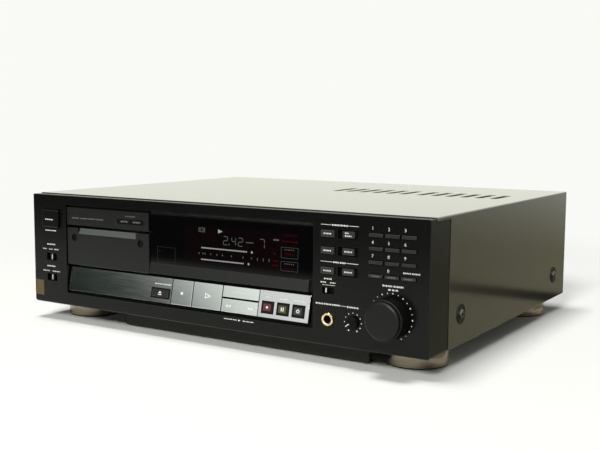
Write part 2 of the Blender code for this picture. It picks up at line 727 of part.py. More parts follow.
def build_chassis(material):
    """The pan: a floor with low side flanges and a full front wall."""
    edge = COVER_SHEET + CLEARANCE
    top = up(FASCIA_HEIGHT - COVER_SHEET - CLEARANCE)
    block = bmesh.new()
    add_box(block, left(edge), right(edge), back(CHASSIS_FRONT), back(CHASSIS_REAR), up(0.0), top)
    pan = make_object("chassis_pan", block, material)
    hollow = bmesh.new()
    add_box(hollow, left(edge + CHASSIS_SHEET), right(edge + CHASSIS_SHEET),
            back(CHASSIS_FRONT + CHASSIS_SHEET), back(CHASSIS_REAR + OVERRUN),
            up(CHASSIS_SHEET), top + OVERRUN)
    boolean(pan, make_object("pan_hollow", hollow), "DIFFERENCE")
    trim = bmesh.new()
    add_box(trim, left(edge - OVERRUN), right(edge - OVERRUN),
            back(CHASSIS_FRONT + CHASSIS_SHEET), back(CHASSIS_REAR + OVERRUN),
            up(CHASSIS_FLANGE_HEIGHT), top + OVERRUN)
    boolean(pan, make_object("pan_trim", trim), "DIFFERENCE")
    cuts = bmesh.new()
    bay = (frame_width() + FRAME_WALL) / 2
    add_box(cuts, left(BAY_CENTRE) - bay, left(BAY_CENTRE) + bay, back(CHASSIS_FRONT - OVERRUN),
            back(CHASSIS_FRONT + CHASSIS_SHEET + OVERRUN), up(FRAME_FLOOR_LEVEL - FRAME_FLOOR),
            up(TRAY_BOTTOM + TRAY_HEIGHT + FRAME_WALL))
    for index in range(FLOOR_SLOTS):
        add_slot(cuts, FLOOR_SLOT_START + index * FLOOR_SLOT_PITCH, back(FLOOR_SLOT_FRONT),
                 FLOOR_SLOT_LENGTH, FLOOR_SLOT_WIDTH, up(-OVERRUN), up(CHASSIS_SHEET + OVERRUN))
    boolean(pan, make_object("pan_cuts", cuts), "DIFFERENCE")
    return pan


def rca_places():
    return [(x, up(level)) for x in JACK_COLUMNS for level in JACK_LEVELS]


def optical_places():
    return [(OPTICAL_COLUMN, up(level)) for level in JACK_LEVELS]


def build_rear_panel(material):
    """The flat back with holes for the sockets and the mains inlet."""
    edge = COVER_SHEET + CLEARANCE
    sheet = bmesh.new()
    add_box(sheet, left(edge), right(edge), back(REAR_FACE - REAR_SHEET), back(REAR_FACE),
            up(0.0), up(FASCIA_HEIGHT - COVER_SHEET - CLEARANCE))
    panel = make_object("rear_panel", sheet, material)
    cuts = bmesh.new()
    front = back(REAR_FACE - REAR_SHEET - OVERRUN)
    rear = back(REAR_FACE + OVERRUN)
    for x, z in rca_places():
        radius = RCA_COLLAR_RADIUS + CLEARANCE
        profile = ((0.0, 0.0), (0.0, radius), (rear - front, radius), (rear - front, 0.0))
        add_turned(cuts, profile, (0, 1, 0), (x, front, z), SMALL_FACETS)
    for x, z in optical_places():
        hole(cuts, x, z, OPTICAL_WIDTH + 2 * CLEARANCE, OPTICAL_WIDTH + 2 * CLEARANCE, front, rear)
    hole(cuts, right(INLET_COLUMN), up(INLET_LEVEL), INLET_WIDTH + 2 * CLEARANCE,
         INLET_HEIGHT + 2 * CLEARANCE, front, rear)
    boolean(panel, make_object("rear_cuts", cuts), "DIFFERENCE")
    return panel


def build_foot(name, x, setback, material):
    """A turned foot with a groove near its top and a rubber pad under it."""
    pad = FOOT_RADIUS - FOOT_PAD_INSET
    groove_top = FOOT_HEIGHT - FOOT_GROOVE_DROP
    groove_bottom = groove_top - FOOT_GROOVE_WIDTH
    profile = ((0.0, 0.0), (0.0, pad), (FOOT_PAD_HEIGHT, pad),
               (FOOT_PAD_HEIGHT, FOOT_RADIUS - FOOT_CHAMFER),
               (FOOT_PAD_HEIGHT + FOOT_CHAMFER, FOOT_RADIUS),
               (groove_bottom, FOOT_RADIUS),
               (groove_bottom, FOOT_RADIUS - FOOT_GROOVE_DEPTH),
               (groove_top, FOOT_RADIUS - FOOT_GROOVE_DEPTH),
               (groove_top, FOOT_RADIUS),
               (FOOT_HEIGHT - FOOT_CHAMFER, FOOT_RADIUS),
               (FOOT_HEIGHT, FOOT_RADIUS - FOOT_CHAMFER), (FOOT_HEIGHT, 0.0))
    shape = bmesh.new()
    add_turned(shape, profile, (0, 0, 1), (0, 0, 0), FOOT_FACETS)
    return smooth(make_object(name, shape, material, (x, back(setback), 0.0)))


def build_brace(material):
    """The bent channel that stiffens the deck's underside between the front feet."""
    front = back(BRACE_SETBACK)
    rear = front + BRACE_FLANGE
    top = up(-CLEARANCE)
    bottom = top - BRACE_HEIGHT
    outline = ((front, bottom), (rear, bottom), (rear, bottom + BRACE_SHEET),
               (front + BRACE_SHEET, bottom + BRACE_SHEET), (front + BRACE_SHEET, top - BRACE_SHEET),
               (rear, top - BRACE_SHEET), (rear, top), (front, top))
    shape = bmesh.new()
    add_prism(shape, outline, "x", left(BRACE_LEFT), right(FOOT_INSET + FOOT_RADIUS + BRACE_FOOT_GAP))
    return make_object("under_brace", shape, material)


def counter_key_places():
    centre = left(COUNTER_POCKET_CENTRE)
    z = up(COUNTER_BOTTOM + COUNTER_KEY_LIFT)
    return [(centre - COUNTER_KEY_PITCH / 2, z), (centre + COUNTER_KEY_PITCH / 2, z)]


def build_counter_panel(material):
    """The bar above the drawer, with a pocket for its two small keys."""
    x_low = left(BAY_LEFT)
    x_high = left(BAY_RIGHT)
    z_low = up(COUNTER_BOTTOM)
    z_high = up(COUNTER_TOP)
    lap = PANEL_LAP + CLEARANCE
    seat = back(PANEL_SEAT)
    shape = bmesh.new()
    add_box(shape, x_low, x_high, back(COUNTER_SETBACK), seat + PANEL_FLANGE / 2, z_low, z_high)
    panel = make_object("counter_panel", shape, material)
    flange = bmesh.new()
    add_box(flange, x_low - lap, x_high, seat, seat + PANEL_FLANGE, z_low,
            up(OPENING_TOP + PANEL_LAP))
    boolean(panel, make_object("counter_flange", flange), "UNION")
    cuts = bmesh.new()
    middle = up(COUNTER_BOTTOM + COUNTER_KEY_LIFT)
    hole(cuts, left(COUNTER_POCKET_CENTRE), middle, COUNTER_POCKET_WIDTH, COUNTER_POCKET_HEIGHT,
         back(COUNTER_SETBACK - OVERRUN), back(COUNTER_SETBACK + COUNTER_POCKET_DEPTH))
    boolean(panel, make_object("counter_pocket", cuts), "DIFFERENCE")
    holes = bmesh.new()
    for x, z in counter_key_places():
        hole(holes, x, z, COUNTER_KEY_WIDTH + 2 * CLEARANCE, COUNTER_KEY_HEIGHT + 2 * CLEARANCE,
             back(COUNTER_SETBACK), back(PANEL_SEAT + PANEL_FLANGE + OVERRUN))
    boolean(panel, make_object("counter_holes", holes), "DIFFERENCE")
    return panel


def build_key(name, place, width, height, front, wall, rear, chamfer, material, tilt=0.0):
    """A key cap with a bevelled front, a flange that keeps it in, and a stem.

    front, wall and rear are distances behind the key's place, along its travel.
    """
    flange_width = width + 2 * KEY_FLANGE
    flange_height = height + 2 * KEY_FLANGE
    flange = wall + CLEARANCE
    stem_width = width * KEY_STEM_SHARE
    stem_height = min(height, SWITCH_BODY) * (1 - KEY_STEM_SHARE)
    rings = [centred_ring(front, width - 2 * chamfer, height - 2 * chamfer),
             centred_ring(front + chamfer, width, height),
             centred_ring(flange, width, height),
             centred_ring(flange, flange_width, flange_height)]
    if rear > flange + KEY_FLANGE_THICKNESS:
        rings += [centred_ring(flange + KEY_FLANGE_THICKNESS, flange_width, flange_height),
                  centred_ring(flange + KEY_FLANGE_THICKNESS, stem_width, stem_height),
                  centred_ring(rear, stem_width, stem_height)]
    else:
        rings.append(centred_ring(rear, flange_width, flange_height))
    shape = bmesh.new()
    add_loft(shape, rings)
    return make_object(name, shape, material, place, tilt)


def build_counter_keys(material):
    names = ("counter_reset_key", "counter_memory_key")
    wall = PANEL_SEAT + PANEL_FLANGE
    rear = wall + CLEARANCE + KEY_FLANGE_THICKNESS
    for name, (x, z) in zip(names, counter_key_places()):
        build_key(name, (x, back(0.0), z), COUNTER_KEY_WIDTH, COUNTER_KEY_HEIGHT,
                  COUNTER_SETBACK, wall, rear, KEY_CHAMFER, material)


def build_drawer_face(material):
    """The drawer's front, with its sloping notch and two round dimples."""
    x_low = -DRAWER_BAY_WIDTH / 2
    x_high = DRAWER_BAY_WIDTH / 2
    height = DRAWER_TOP - DRAWER_BOTTOM
    chamfer = DRAWER_CHAMFER
    shape = bmesh.new()
    add_loft(shape, [flat_ring(0.0, x_low + chamfer, x_high - chamfer, chamfer, height - chamfer),
                     flat_ring(chamfer, x_low, x_high, 0.0, height),
                     flat_ring(DRAWER_FACE_THICKNESS, x_low, x_high, 0.0, height)])
    place = (left(BAY_CENTRE), back(COUNTER_SETBACK), up(DRAWER_BOTTOM))
    face = make_object("drawer_front", shape, material, place)
    cuts = bmesh.new()
    slope = NOTCH_DEPTH / NOTCH_HEIGHT
    notch_low = height - NOTCH_HEIGHT
    outline = ((-OVERRUN, notch_low), (0.0, notch_low),
               (slope * (NOTCH_HEIGHT + OVERRUN), height + OVERRUN), (-OVERRUN, height + OVERRUN))
    notch_x = x_low + NOTCH_LEFT
    add_prism(cuts, outline, "x", notch_x, notch_x + NOTCH_WIDTH)
    for x in (x_low + DIMPLE_INSET, x_high - DIMPLE_INSET):
        profile = ((-OVERRUN, 0.0), (-OVERRUN, DIMPLE_RADIUS),
                   (DIMPLE_DEPTH, DIMPLE_RADIUS), (DIMPLE_DEPTH, 0.0))
        add_turned(cuts, profile, (0, 1, 0), (x, 0.0, height - DIMPLE_DROP), SMALL_FACETS)
    cutter = make_object("drawer_cuts", cuts, None, place)
    boolean(face, cutter, "DIFFERENCE")
    return face


def rack_outline():
    """The rack seen from above: its body on the left and its teeth on the right."""
    half_tooth = CIRCULAR_PITCH / 4 - GEAR_BACKLASH / 4
    tip = half_tooth - GEAR_ADDENDUM * math.tan(PRESSURE_ANGLE)
    root = half_tooth + GEAR_DEDENDUM * math.tan(PRESSURE_ANGLE)
    first = PINION_SETBACK - 2 * CIRCULAR_PITCH
    points = [(-RACK_BODY, first), (-GEAR_DEDENDUM, first)]
    for tooth in range(RACK_TEETH):
        centre = first + (tooth + 0.5) * CIRCULAR_PITCH
        points += [(-GEAR_DEDENDUM, centre - root), (GEAR_ADDENDUM, centre - tip),
                   (GEAR_ADDENDUM, centre + tip), (-GEAR_DEDENDUM, centre + root)]
    last = first + RACK_TEETH * CIRCULAR_PITCH
    points += [(-GEAR_DEDENDUM, last), (-RACK_BODY, last)]
    return points


def tray_front():
    return COUNTER_SETBACK + DRAWER_FACE_THICKNESS + CLEARANCE


def build_drawer_tray(material):
    """The tray with its cassette well, runner grooves and the rack under it."""
    place = (left(BAY_CENTRE), back(0.0), up(TRAY_BOTTOM))
    front = tray_front()
    half = TRAY_WIDTH / 2
    block = bmesh.new()
    add_box(block, -half, half, front, front + TRAY_LENGTH, 0.0, TRAY_HEIGHT)
    tray = make_object("drawer_tray", block, material, place)
    rack = bmesh.new()
    outline = [(RACK_OFFSET + x, y) for x, y in rack_outline()]
    add_prism(rack, outline, "z", -RACK_DEPTH, OVERRUN)
    boolean(tray, make_object("tray_rack", rack, None, place), "UNION")
    cuts = bmesh.new()
    well_middle = front + WELL_FRONT + WELL_LENGTH / 2
    well = [(x, well_middle + y) for x, y in
            rounded_outline(WELL_WIDTH, WELL_LENGTH, WELL_RADIUS, CORNER_STEPS - 1)]
    add_prism(cuts, well, "z", TRAY_HEIGHT - WELL_DEPTH, TRAY_HEIGHT + OVERRUN)
    groove = RUNNER_GROOVE_DEPTH
    for low, high in ((-half - OVERRUN, -half + groove), (half - groove, half + OVERRUN)):
        add_box(cuts, low, high, front - OVERRUN, front + TRAY_LENGTH + OVERRUN,
                RUNNER_GROOVE_LIFT, RUNNER_GROOVE_LIFT + RUNNER_GROOVE_HEIGHT)
    boolean(tray, make_object("tray_cuts", cuts, None, place), "DIFFERENCE")
    hubs = bmesh.new()
    for x in (-HUB_HOLE_PITCH / 2, HUB_HOLE_PITCH / 2):
        profile = ((-OVERRUN, 0.0), (-OVERRUN, HUB_HOLE_RADIUS),
                   (TRAY_HEIGHT, HUB_HOLE_RADIUS), (TRAY_HEIGHT, 0.0))
        add_turned(hubs, profile, (0, 0, 1), (x, well_middle, 0.0), SMALL_FACETS)
    boolean(tray, make_object("tray_hub_holes", hubs, None, place), "DIFFERENCE")
    return tray


def involute(angle):
    return math.tan(angle) - angle


def pinion_outline():
    """The pinion's involute teeth, with one tooth pointing at the rack."""
    base = PINION_RADIUS * math.cos(PRESSURE_ANGLE)
    outer = PINION_RADIUS + GEAR_ADDENDUM
    root = PINION_RADIUS - GEAR_DEDENDUM
    half = math.pi / (2 * PINION_TEETH) - GEAR_BACKLASH / (4 * PINION_RADIUS)

    def half_angle(radius):
        pressure = math.acos(min(1.0, base / radius))
        return half + involute(PRESSURE_ANGLE) - involute(pressure)

    radii = [root] + [base + (outer - base) * share for share in FLANK_SHARES]
    points = []
    for tooth in range(PINION_TEETH):
        middle = math.pi + math.tau * tooth / PINION_TEETH
        rise = [(radius, middle - half_angle(max(radius, base))) for radius in radii]
        fall = [(radius, middle + half_angle(max(radius, base))) for radius in reversed(radii)]
        points += [(radius * math.cos(angle), radius * math.sin(angle))
                   for radius, angle in rise + fall]
    return points


def pinion_level():
    return TRAY_BOTTOM - RACK_DEPTH + CLEARANCE


def pinion_x():
    return left(BAY_CENTRE) + RACK_OFFSET + PINION_RADIUS


def build_pinion(material):
    """The moulded gear that drives the drawer's rack."""
    shape = bmesh.new()
    add_prism(shape, pinion_outline(), "z", 0.0, PINION_THICKNESS)
    place = (pinion_x(), back(PINION_SETBACK), up(pinion_level()))
    gear = make_object("drawer_pinion", shape, material, place)
    bore = bmesh.new()
    profile = ((-OVERRUN, 0.0), (-OVERRUN, PINION_BORE_RADIUS),
               (PINION_THICKNESS + OVERRUN, PINION_BORE_RADIUS), (PINION_THICKNESS + OVERRUN, 0.0))
    add_turned(bore, profile, (0, 0, 1), (0, 0, 0), SMALL_FACETS)
    boolean(gear, make_object("pinion_bore", bore, None, place), "DIFFERENCE")
    return gear


def frame_width():
    return TRAY_WIDTH + 2 * CLEARANCE + 2 * FRAME_WALL


def drum_axis():
    return Vector((0.0, -math.sin(DRUM_TILT), math.cos(DRUM_TILT)))


def drum_foot():
    """Where the leaning drum's axis meets the mechanism frame's floor."""
    return Vector((left(BAY_CENTRE), back(DRUM_SETBACK), up(FRAME_FLOOR_LEVEL + FRAME_FLOOR)))


def build_mechanism_frame(material):
    """A trough on four posts, with runners for the drawer and the fixed half of the drum."""
    half = frame_width() / 2
    inner = half - FRAME_WALL
    centre = left(BAY_CENTRE)
    floor = up(FRAME_FLOOR_LEVEL)
    top = up(TRAY_BOTTOM + TRAY_HEIGHT)
    front = back(FRAME_FRONT)
    rear = back(FRAME_FRONT + FRAME_LENGTH)
    outline = ((-half, floor), (half, floor), (half, top), (inner, top),
               (inner, floor + FRAME_FLOOR), (-inner, floor + FRAME_FLOOR),
               (-inner, top), (-half, top))
    trough = bmesh.new()
    add_prism(trough, [(centre + x, z) for x, z in outline], "y", front, rear)
    frame = make_object("mechanism_frame", trough, material)
    extras = bmesh.new()
    runner_low = up(TRAY_BOTTOM + RUNNER_GROOVE_LIFT + CLEARANCE)
    runner_high = up(TRAY_BOTTOM + RUNNER_GROOVE_LIFT + RUNNER_GROOVE_HEIGHT - CLEARANCE)
    reach = RUNNER_GROOVE_DEPTH
    runner_rear = back(tray_front() + TRAY_LENGTH)
    sides = ((centre - inner - FRAME_WALL / 2, centre - inner + reach),
             (centre + inner - reach, centre + inner + FRAME_WALL / 2))
    for low, high in sides:
        add_box(extras, low, high, front + OVERRUN, runner_rear, runner_low, runner_high)
    post = FRAME_POST / 2
    for x in (centre - half + FRAME_POST_INSET, centre + half - FRAME_POST_INSET):
        for y in (back(CHASSIS_FRONT + CHASSIS_SHEET + FRAME_POST_INSET), rear - FRAME_POST_INSET):
            add_box(extras, x - post, x + post, y - post, y + post,
                    up(CHASSIS_SHEET + CLEARANCE), floor + FRAME_FLOOR / 2)
    sunk = FRAME_FLOOR_LEVEL + FRAME_FLOOR / 2
    pin = PINION_BORE_RADIUS - CLEARANCE
    boss = 2 * PINION_BORE_RADIUS
    boss_top = pinion_level() - CLEARANCE - sunk
    pin_top = pinion_level() + PINION_THICKNESS - sunk
    post_profile = ((0.0, 0.0), (0.0, boss), (boss_top, boss), (boss_top, pin), (pin_top, pin),
                    (pin_top, 0.0))
    add_turned(extras, post_profile, (0, 0, 1), (pinion_x(), back(PINION_SETBACK), up(sunk)),
               SMALL_FACETS)
    boolean(frame, make_object("frame_extras", extras), "UNION")
    drum = bmesh.new()
    profile = ((-FRAME_FLOOR, 0.0), (-FRAME_FLOOR, DRUM_RADIUS),
               (DRUM_BASE_HEIGHT, DRUM_RADIUS), (DRUM_BASE_HEIGHT, 0.0))
    add_turned(drum, profile, drum_axis(), drum_foot() + drum_axis() * FRAME_FLOOR, KNOB_FACETS)
    boolean(frame, make_object("frame_drum_base", drum), "UNION")
    return frame


def build_head_drum(material):
    """The spinning upper half of the head drum, which leans with its base."""
    low = 0.0
    high = DRUM_HEIGHT
    profile = ((low, 0.0), (low, DRUM_RADIUS), (high, DRUM_RADIUS), (high, DRUM_HUB_RADIUS),
               (high + DRUM_HUB_HEIGHT, DRUM_HUB_RADIUS), (high + DRUM_HUB_HEIGHT, 0.0))
    shape = bmesh.new()
    add_turned(shape, profile, (0, 0, 1), (0, 0, 0), KNOB_FACETS)
    place = drum_foot() + drum_axis() * (FRAME_FLOOR + DRUM_BASE_HEIGHT + CLEARANCE)
    return smooth(make_object("head_drum", shape, material, place, DRUM_TILT))


def window_edges():
    return left(BAY_RIGHT + WINDOW_GAP), right(OPENING_RIGHT + WINDOW_RIGHT_GAP)


def build_display_window(material):
    """The smoked window, which leans back over a sill that leans more."""
    x_low, x_high = window_edges()
    top = up(WINDOW_TOP)
    lap_top = up(OPENING_TOP + PANEL_LAP)
    outline = ((back(WINDOW_TOP_SETBACK), top), (back(WINDOW_EDGE_SETBACK), up(WINDOW_EDGE)),
               (back(SILL_SETBACK), up(SILL_BOTTOM)),
               (back(SILL_SETBACK + SILL_THICKNESS), up(SILL_BOTTOM)),
               (back(WINDOW_BACK), up(WINDOW_EDGE)), (back(WINDOW_BACK), lap_top),
               (back(PANEL_SEAT), lap_top), (back(PANEL_SEAT), top))
    shape = bmesh.new()
    add_prism(shape, outline, "x", x_low, x_high)
    window = make_object("display_window", shape, material)
    flange = bmesh.new()
    add_box(flange, x_high - OVERRUN, right(OPENING_RIGHT - PANEL_LAP), back(PANEL_SEAT),
            back(WINDOW_BACK), up(WINDOW_EDGE), lap_top)
    boolean(window, make_object("window_flange", flange), "UNION")
    return window


def build_display_tube(material):
    """The flat glass display tube with the nipple it was sealed at."""
    window_left, window_right = window_edges()
    x_low = window_left + TUBE_LEFT_MARGIN
    x_high = window_right - TUBE_RIGHT_MARGIN
    front = back(WINDOW_BACK + CLEARANCE)
    low = up(TUBE_BOTTOM)
    high = up(TUBE_BOTTOM + TUBE_HEIGHT)
    shape = bmesh.new()
    add_box(shape, x_low, x_high, front, front + TUBE_THICKNESS, low, high)
    tube = make_object("display_tube", shape, material)
    tip = bmesh.new()
    middle = (low + high) / 2
    profile = ((-OVERRUN, 0.0), (-OVERRUN, TUBE_TIP_RADIUS), (TUBE_TIP_LENGTH / 2, TUBE_TIP_RADIUS),
               (TUBE_TIP_LENGTH, 0.0))
    add_turned(tip, profile, (1, 0, 0), (x_high, front + TUBE_THICKNESS / 2, middle), BOSS_FACETS)
    boolean(tube, make_object("tube_tip", tip), "UNION")
    return tube


def strip_place(x, lift=0.0):
    """A place on the strip's leaning face: X, and the distance up the slope from its middle."""
    middle = Vector((0.0, back(STRIP_BOTTOM_SETBACK + STRIP_LEAN / 2),
                     up(STRIP_BOTTOM + STRIP_RISE / 2)))
    slope = Vector((0.0, math.sin(STRIP_TILT), math.cos(STRIP_TILT)))
    return Vector((x, 0.0, 0.0)) + middle + slope * lift


def search_split():
    """How far up the slope the two search keys part."""
    low = SEARCH_SPLIT_LIFT - SEARCH_SPLIT_GAP / 2
    return low, low + SEARCH_SPLIT_GAP


def strip_keys():
    """Name, X range and slope range of each large key in the strip."""
    half = STRIP_HEIGHT / 2
    stop_low = right(STOP_KEY_START)
    play_low = stop_low + STOP_KEY_WIDTH + KEY_GAP
    search_low = play_low + PLAY_KEY_WIDTH + KEY_GAP
    search_high = search_low + SEARCH_KEY_WIDTH
    low_split, high_split = search_split()
    return [("stop_key", stop_low, stop_low + STOP_KEY_WIDTH, -half, half),
            ("play_key", play_low, play_low + PLAY_KEY_WIDTH, -half, half),
            ("search_key_upper", search_low, search_high, high_split, half),
            ("search_key_lower", search_low, search_high, -half, low_split)]


def strip_buttons():
    """Name, X, lift, width and height of the small buttons in the strip."""
    buttons = [("eject_button", right(EJECT_CENTRE), EJECT_LIFT, EJECT_WIDTH, EJECT_HEIGHT)]
    for index, name in enumerate(("record_button", "pause_button", "mute_button")):
        x = right(FIRST_SMALL_BUTTON - index * SMALL_BUTTON_PITCH)
        buttons.append((name, x, SMALL_BUTTON_LIFT, SMALL_BUTTON_WIDTH, SMALL_BUTTON_HEIGHT))
    return buttons


def build_control_panel(material):
    """The leaning strip: two fixed plates joined by a bed that the large keys lie in."""
    half = STRIP_HEIGHT / 2
    keys = strip_keys()
    x_low = left(STRIP_LEFT)
    x_high = right(STRIP_RIGHT)
    bed_low = left(OPENING_LEFT - PANEL_LAP)
    bed_high = right(OPENING_RIGHT - PANEL_LAP)
    origin = strip_place(0.0)
    shape = bmesh.new()
    add_box(shape, bed_low, bed_high, STRIP_PLATE, STRIP_PLATE + STRIP_BED,
            -half - STRIP_BED_DROP, half + STRIP_BED_RISE)
    panel = make_object("control_panel", shape, material, origin, -STRIP_TILT)
    plates = bmesh.new()
    joined = STRIP_PLATE + STRIP_BED / 2
    add_box(plates, x_low, keys[0][1] - KEY_GAP, 0.0, joined, -half, half)
    add_box(plates, keys[-1][2] + KEY_GAP, x_high, 0.0, joined, -half, half)
    boolean(panel, make_object("strip_plates", plates, None, origin, -STRIP_TILT), "UNION")
    cuts = bmesh.new()
    rear = STRIP_PLATE + STRIP_BED + OVERRUN
    for _, low, high, bottom, top in keys:
        hole(cuts, (low + high) / 2, (bottom + top) / 2, STEM_WIDTH + 2 * CLEARANCE,
             STEM_HEIGHT + 2 * CLEARANCE, STRIP_PLATE - OVERRUN, rear)
    for _, x, lift, width, height in strip_buttons():
        hole(cuts, x, lift, width + 2 * CLEARANCE, height + 2 * CLEARANCE, -OVERRUN, rear)
    boolean(panel, make_object("strip_cuts", cuts, None, origin, -STRIP_TILT), "DIFFERENCE")
    return panel


def build_strip_keys(material):
    """Large flush keys, each a plate on a stem that is kept by a foot behind the bed."""
    bed_back = STRIP_PLATE + STRIP_BED
    foot = bed_back + CLEARANCE
    lap = 2 * CLEARANCE + STEM_FOOT
    for name, low, high, bottom, top in strip_keys():
        width = high - low
        height = top - bottom
        shape = bmesh.new()
        add_loft(shape, [
            centred_ring(0.0, width - 2 * KEY_CHAMFER, height - 2 * KEY_CHAMFER),
            centred_ring(KEY_CHAMFER, width, height),
            centred_ring(KEY_PLATE, width, height),
            centred_ring(KEY_PLATE, STEM_WIDTH, STEM_HEIGHT),
            centred_ring(foot, STEM_WIDTH, STEM_HEIGHT),
            centred_ring(foot, STEM_WIDTH + lap, STEM_HEIGHT + lap),
            centred_ring(foot + STEM_FOOT, STEM_WIDTH + lap, STEM_HEIGHT + lap)])
        place = strip_place((low + high) / 2, (bottom + top) / 2)
        make_object(name, shape, material, place, -STRIP_TILT)


def build_strip_buttons(material):
    wall = STRIP_PLATE + STRIP_BED
    rear = wall + CLEARANCE + KEY_FLANGE_THICKNESS
    for name, x, lift, width, height in strip_buttons():
        build_key(name, strip_place(x, lift), width, height, -BUTTON_PROUD, wall, rear,
                  BUTTON_CHAMFER, material, -STRIP_TILT)


def build_fascia_keys(material):
    """The six ID keys and the twelve number keys."""
    names = ("start_auto_key", "start_write_key", "skip_write_key")
    guarded = ("start_renumber_key", "start_erase_key", "skip_erase_key")
    for name, guarded_name, height in zip(names, guarded, id_key_heights()):
        build_key(name, (right(ID_KEY_COLUMN), back(0.0), height), ID_KEY_WIDTH, ID_KEY_HEIGHT,
                  -ID_KEY_PROUD, FASCIA_WALL, KEY_REAR, KEY_CHAMFER, material)
        build_key(guarded_name, (right(GUARDED_KEY_COLUMN), back(0.0), height), GUARDED_KEY_WIDTH,
                  ID_KEY_HEIGHT, 0.0, GUARD_WELL_DEPTH + GUARD_WELL_FLOOR, KEY_REAR, KEY_CHAMFER,
                  material)
    for index, (x, z) in enumerate(number_key_places()):
        build_key(f"number_key_{index + 1:02d}", (x, back(0.0), z), NUMBER_KEY_WIDTH,
                  NUMBER_KEY_HEIGHT, -NUMBER_KEY_PROUD, FASCIA_WALL, KEY_REAR, KEY_CHAMFER, material)


def build_power_button(material):
    place = (left(POWER_CENTRE), back(0.0), up(POWER_HEIGHT_UP))
    return build_key("power_button", place, POWER_WIDTH, POWER_HEIGHT, -POWER_PROUD, FASCIA_WALL,
                     POWER_REAR, POWER_CHAMFER, material)


def build_slide_knob(name, x, level, nub_width, slot_height, plate_width, material):
    """A slide switch's nub on the plate that closes its slot from behind."""
    nub_height = slot_height - 2 * SWITCH_NUB_GAP
    plate_height = slot_height + SWITCH_PLATE_LAP / 2
    shape = bmesh.new()
    add_loft(shape, [centred_ring(SWITCH_NUB_SETBACK, nub_width - 2 * KEY_CHAMFER, nub_height),
                     centred_ring(SWITCH_NUB_SETBACK + KEY_CHAMFER, nub_width, nub_height),
                     centred_ring(PANEL_SEAT, nub_width, nub_height),
                     centred_ring(PANEL_SEAT, plate_width, plate_height),
                     centred_ring(PANEL_SEAT + SWITCH_PLATE_THICKNESS, plate_width, plate_height)])
    return make_object(name, shape, material, (x, back(0.0), up(level)))


def build_slide_switches(material):
    plate = SWITCH_SLOT_WIDTH + 2 * SWITCH_PLATE_LAP
    for name, level in (("timer_switch", TIMER_SWITCH_LEVEL), ("input_switch", INPUT_SWITCH_LEVEL)):
        build_slide_knob(name, left(SWITCH_CENTRE), level, SWITCH_NUB_WIDTH, SWITCH_SLOT_HEIGHT,
                         plate, material)
    build_slide_knob("skip_play_switch", right(SKIP_CENTRE) - SKIP_STEP, SKIP_LEVEL, SKIP_NUB_WIDTH,
                     SKIP_SLOT_HEIGHT, SKIP_SLOT_WIDTH + 3 * SKIP_STEP, material)


def build_socket(material):
    """The headphone socket: a rim on the face and a blind barrel behind it."""
    lap = CLEARANCE
    end = PANEL_SEAT + SOCKET_BODY_LENGTH
    profile = ((end - SOCKET_END_WALL, 0.0), (end - SOCKET_END_WALL, SOCKET_BORE_RADIUS),
               (-SOCKET_RIM_PROUD + lap, SOCKET_BORE_RADIUS),
               (-SOCKET_RIM_PROUD, SOCKET_BORE_RADIUS + lap),
               (-SOCKET_RIM_PROUD, SOCKET_RIM_RADIUS - 2 * lap),
               (-SOCKET_RIM_PROUD + 2 * lap, SOCKET_RIM_RADIUS),
               (-CLEARANCE, SOCKET_RIM_RADIUS),
               (-CLEARANCE, SOCKET_BARREL_RADIUS), (PANEL_SEAT, SOCKET_BARREL_RADIUS),
               (PANEL_SEAT, SOCKET_BODY_RADIUS), (end, SOCKET_BODY_RADIUS), (end, 0.0))
    shape = bmesh.new()
    add_turned(shape, profile, (0, 1, 0), (0, 0, 0), SMALL_FACETS)
    place = (right(SOCKET_COLUMN), back(0.0), up(SOCKET_LEVEL))
    return smooth(make_object("headphone_socket", shape, material, place))


def build_phones_knob(material):
    """The small headphone level knob with its shaft."""
    radius = PHONES_KNOB_RADIUS
    chamfer = KEY_CHAMFER
    profile = ((-PHONES_KNOB_PROUD, 0.0), (-PHONES_KNOB_PROUD, radius - chamfer),
               (-PHONES_KNOB_PROUD + chamfer, radius), (-KNOB_STANDOFF, radius),
               (-KNOB_STANDOFF, SHAFT_RADIUS), (SHAFT_REAR, SHAFT_RADIUS), (SHAFT_REAR, 0.0))
    shape = bmesh.new()
    add_turned(shape, profile, (0, 1, 0), (0, 0, 0), SMALL_FACETS)
    place = (right(PHONES_KNOB_COLUMN), back(0.0), up(PHONES_KNOB_LEVEL))
    return smooth(make_object("phones_level_knob", shape, material, place))


def sleeve_radius():
    return SHAFT_RADIUS + SHAFT_CLEARANCE + LEVEL_SLEEVE_WALL


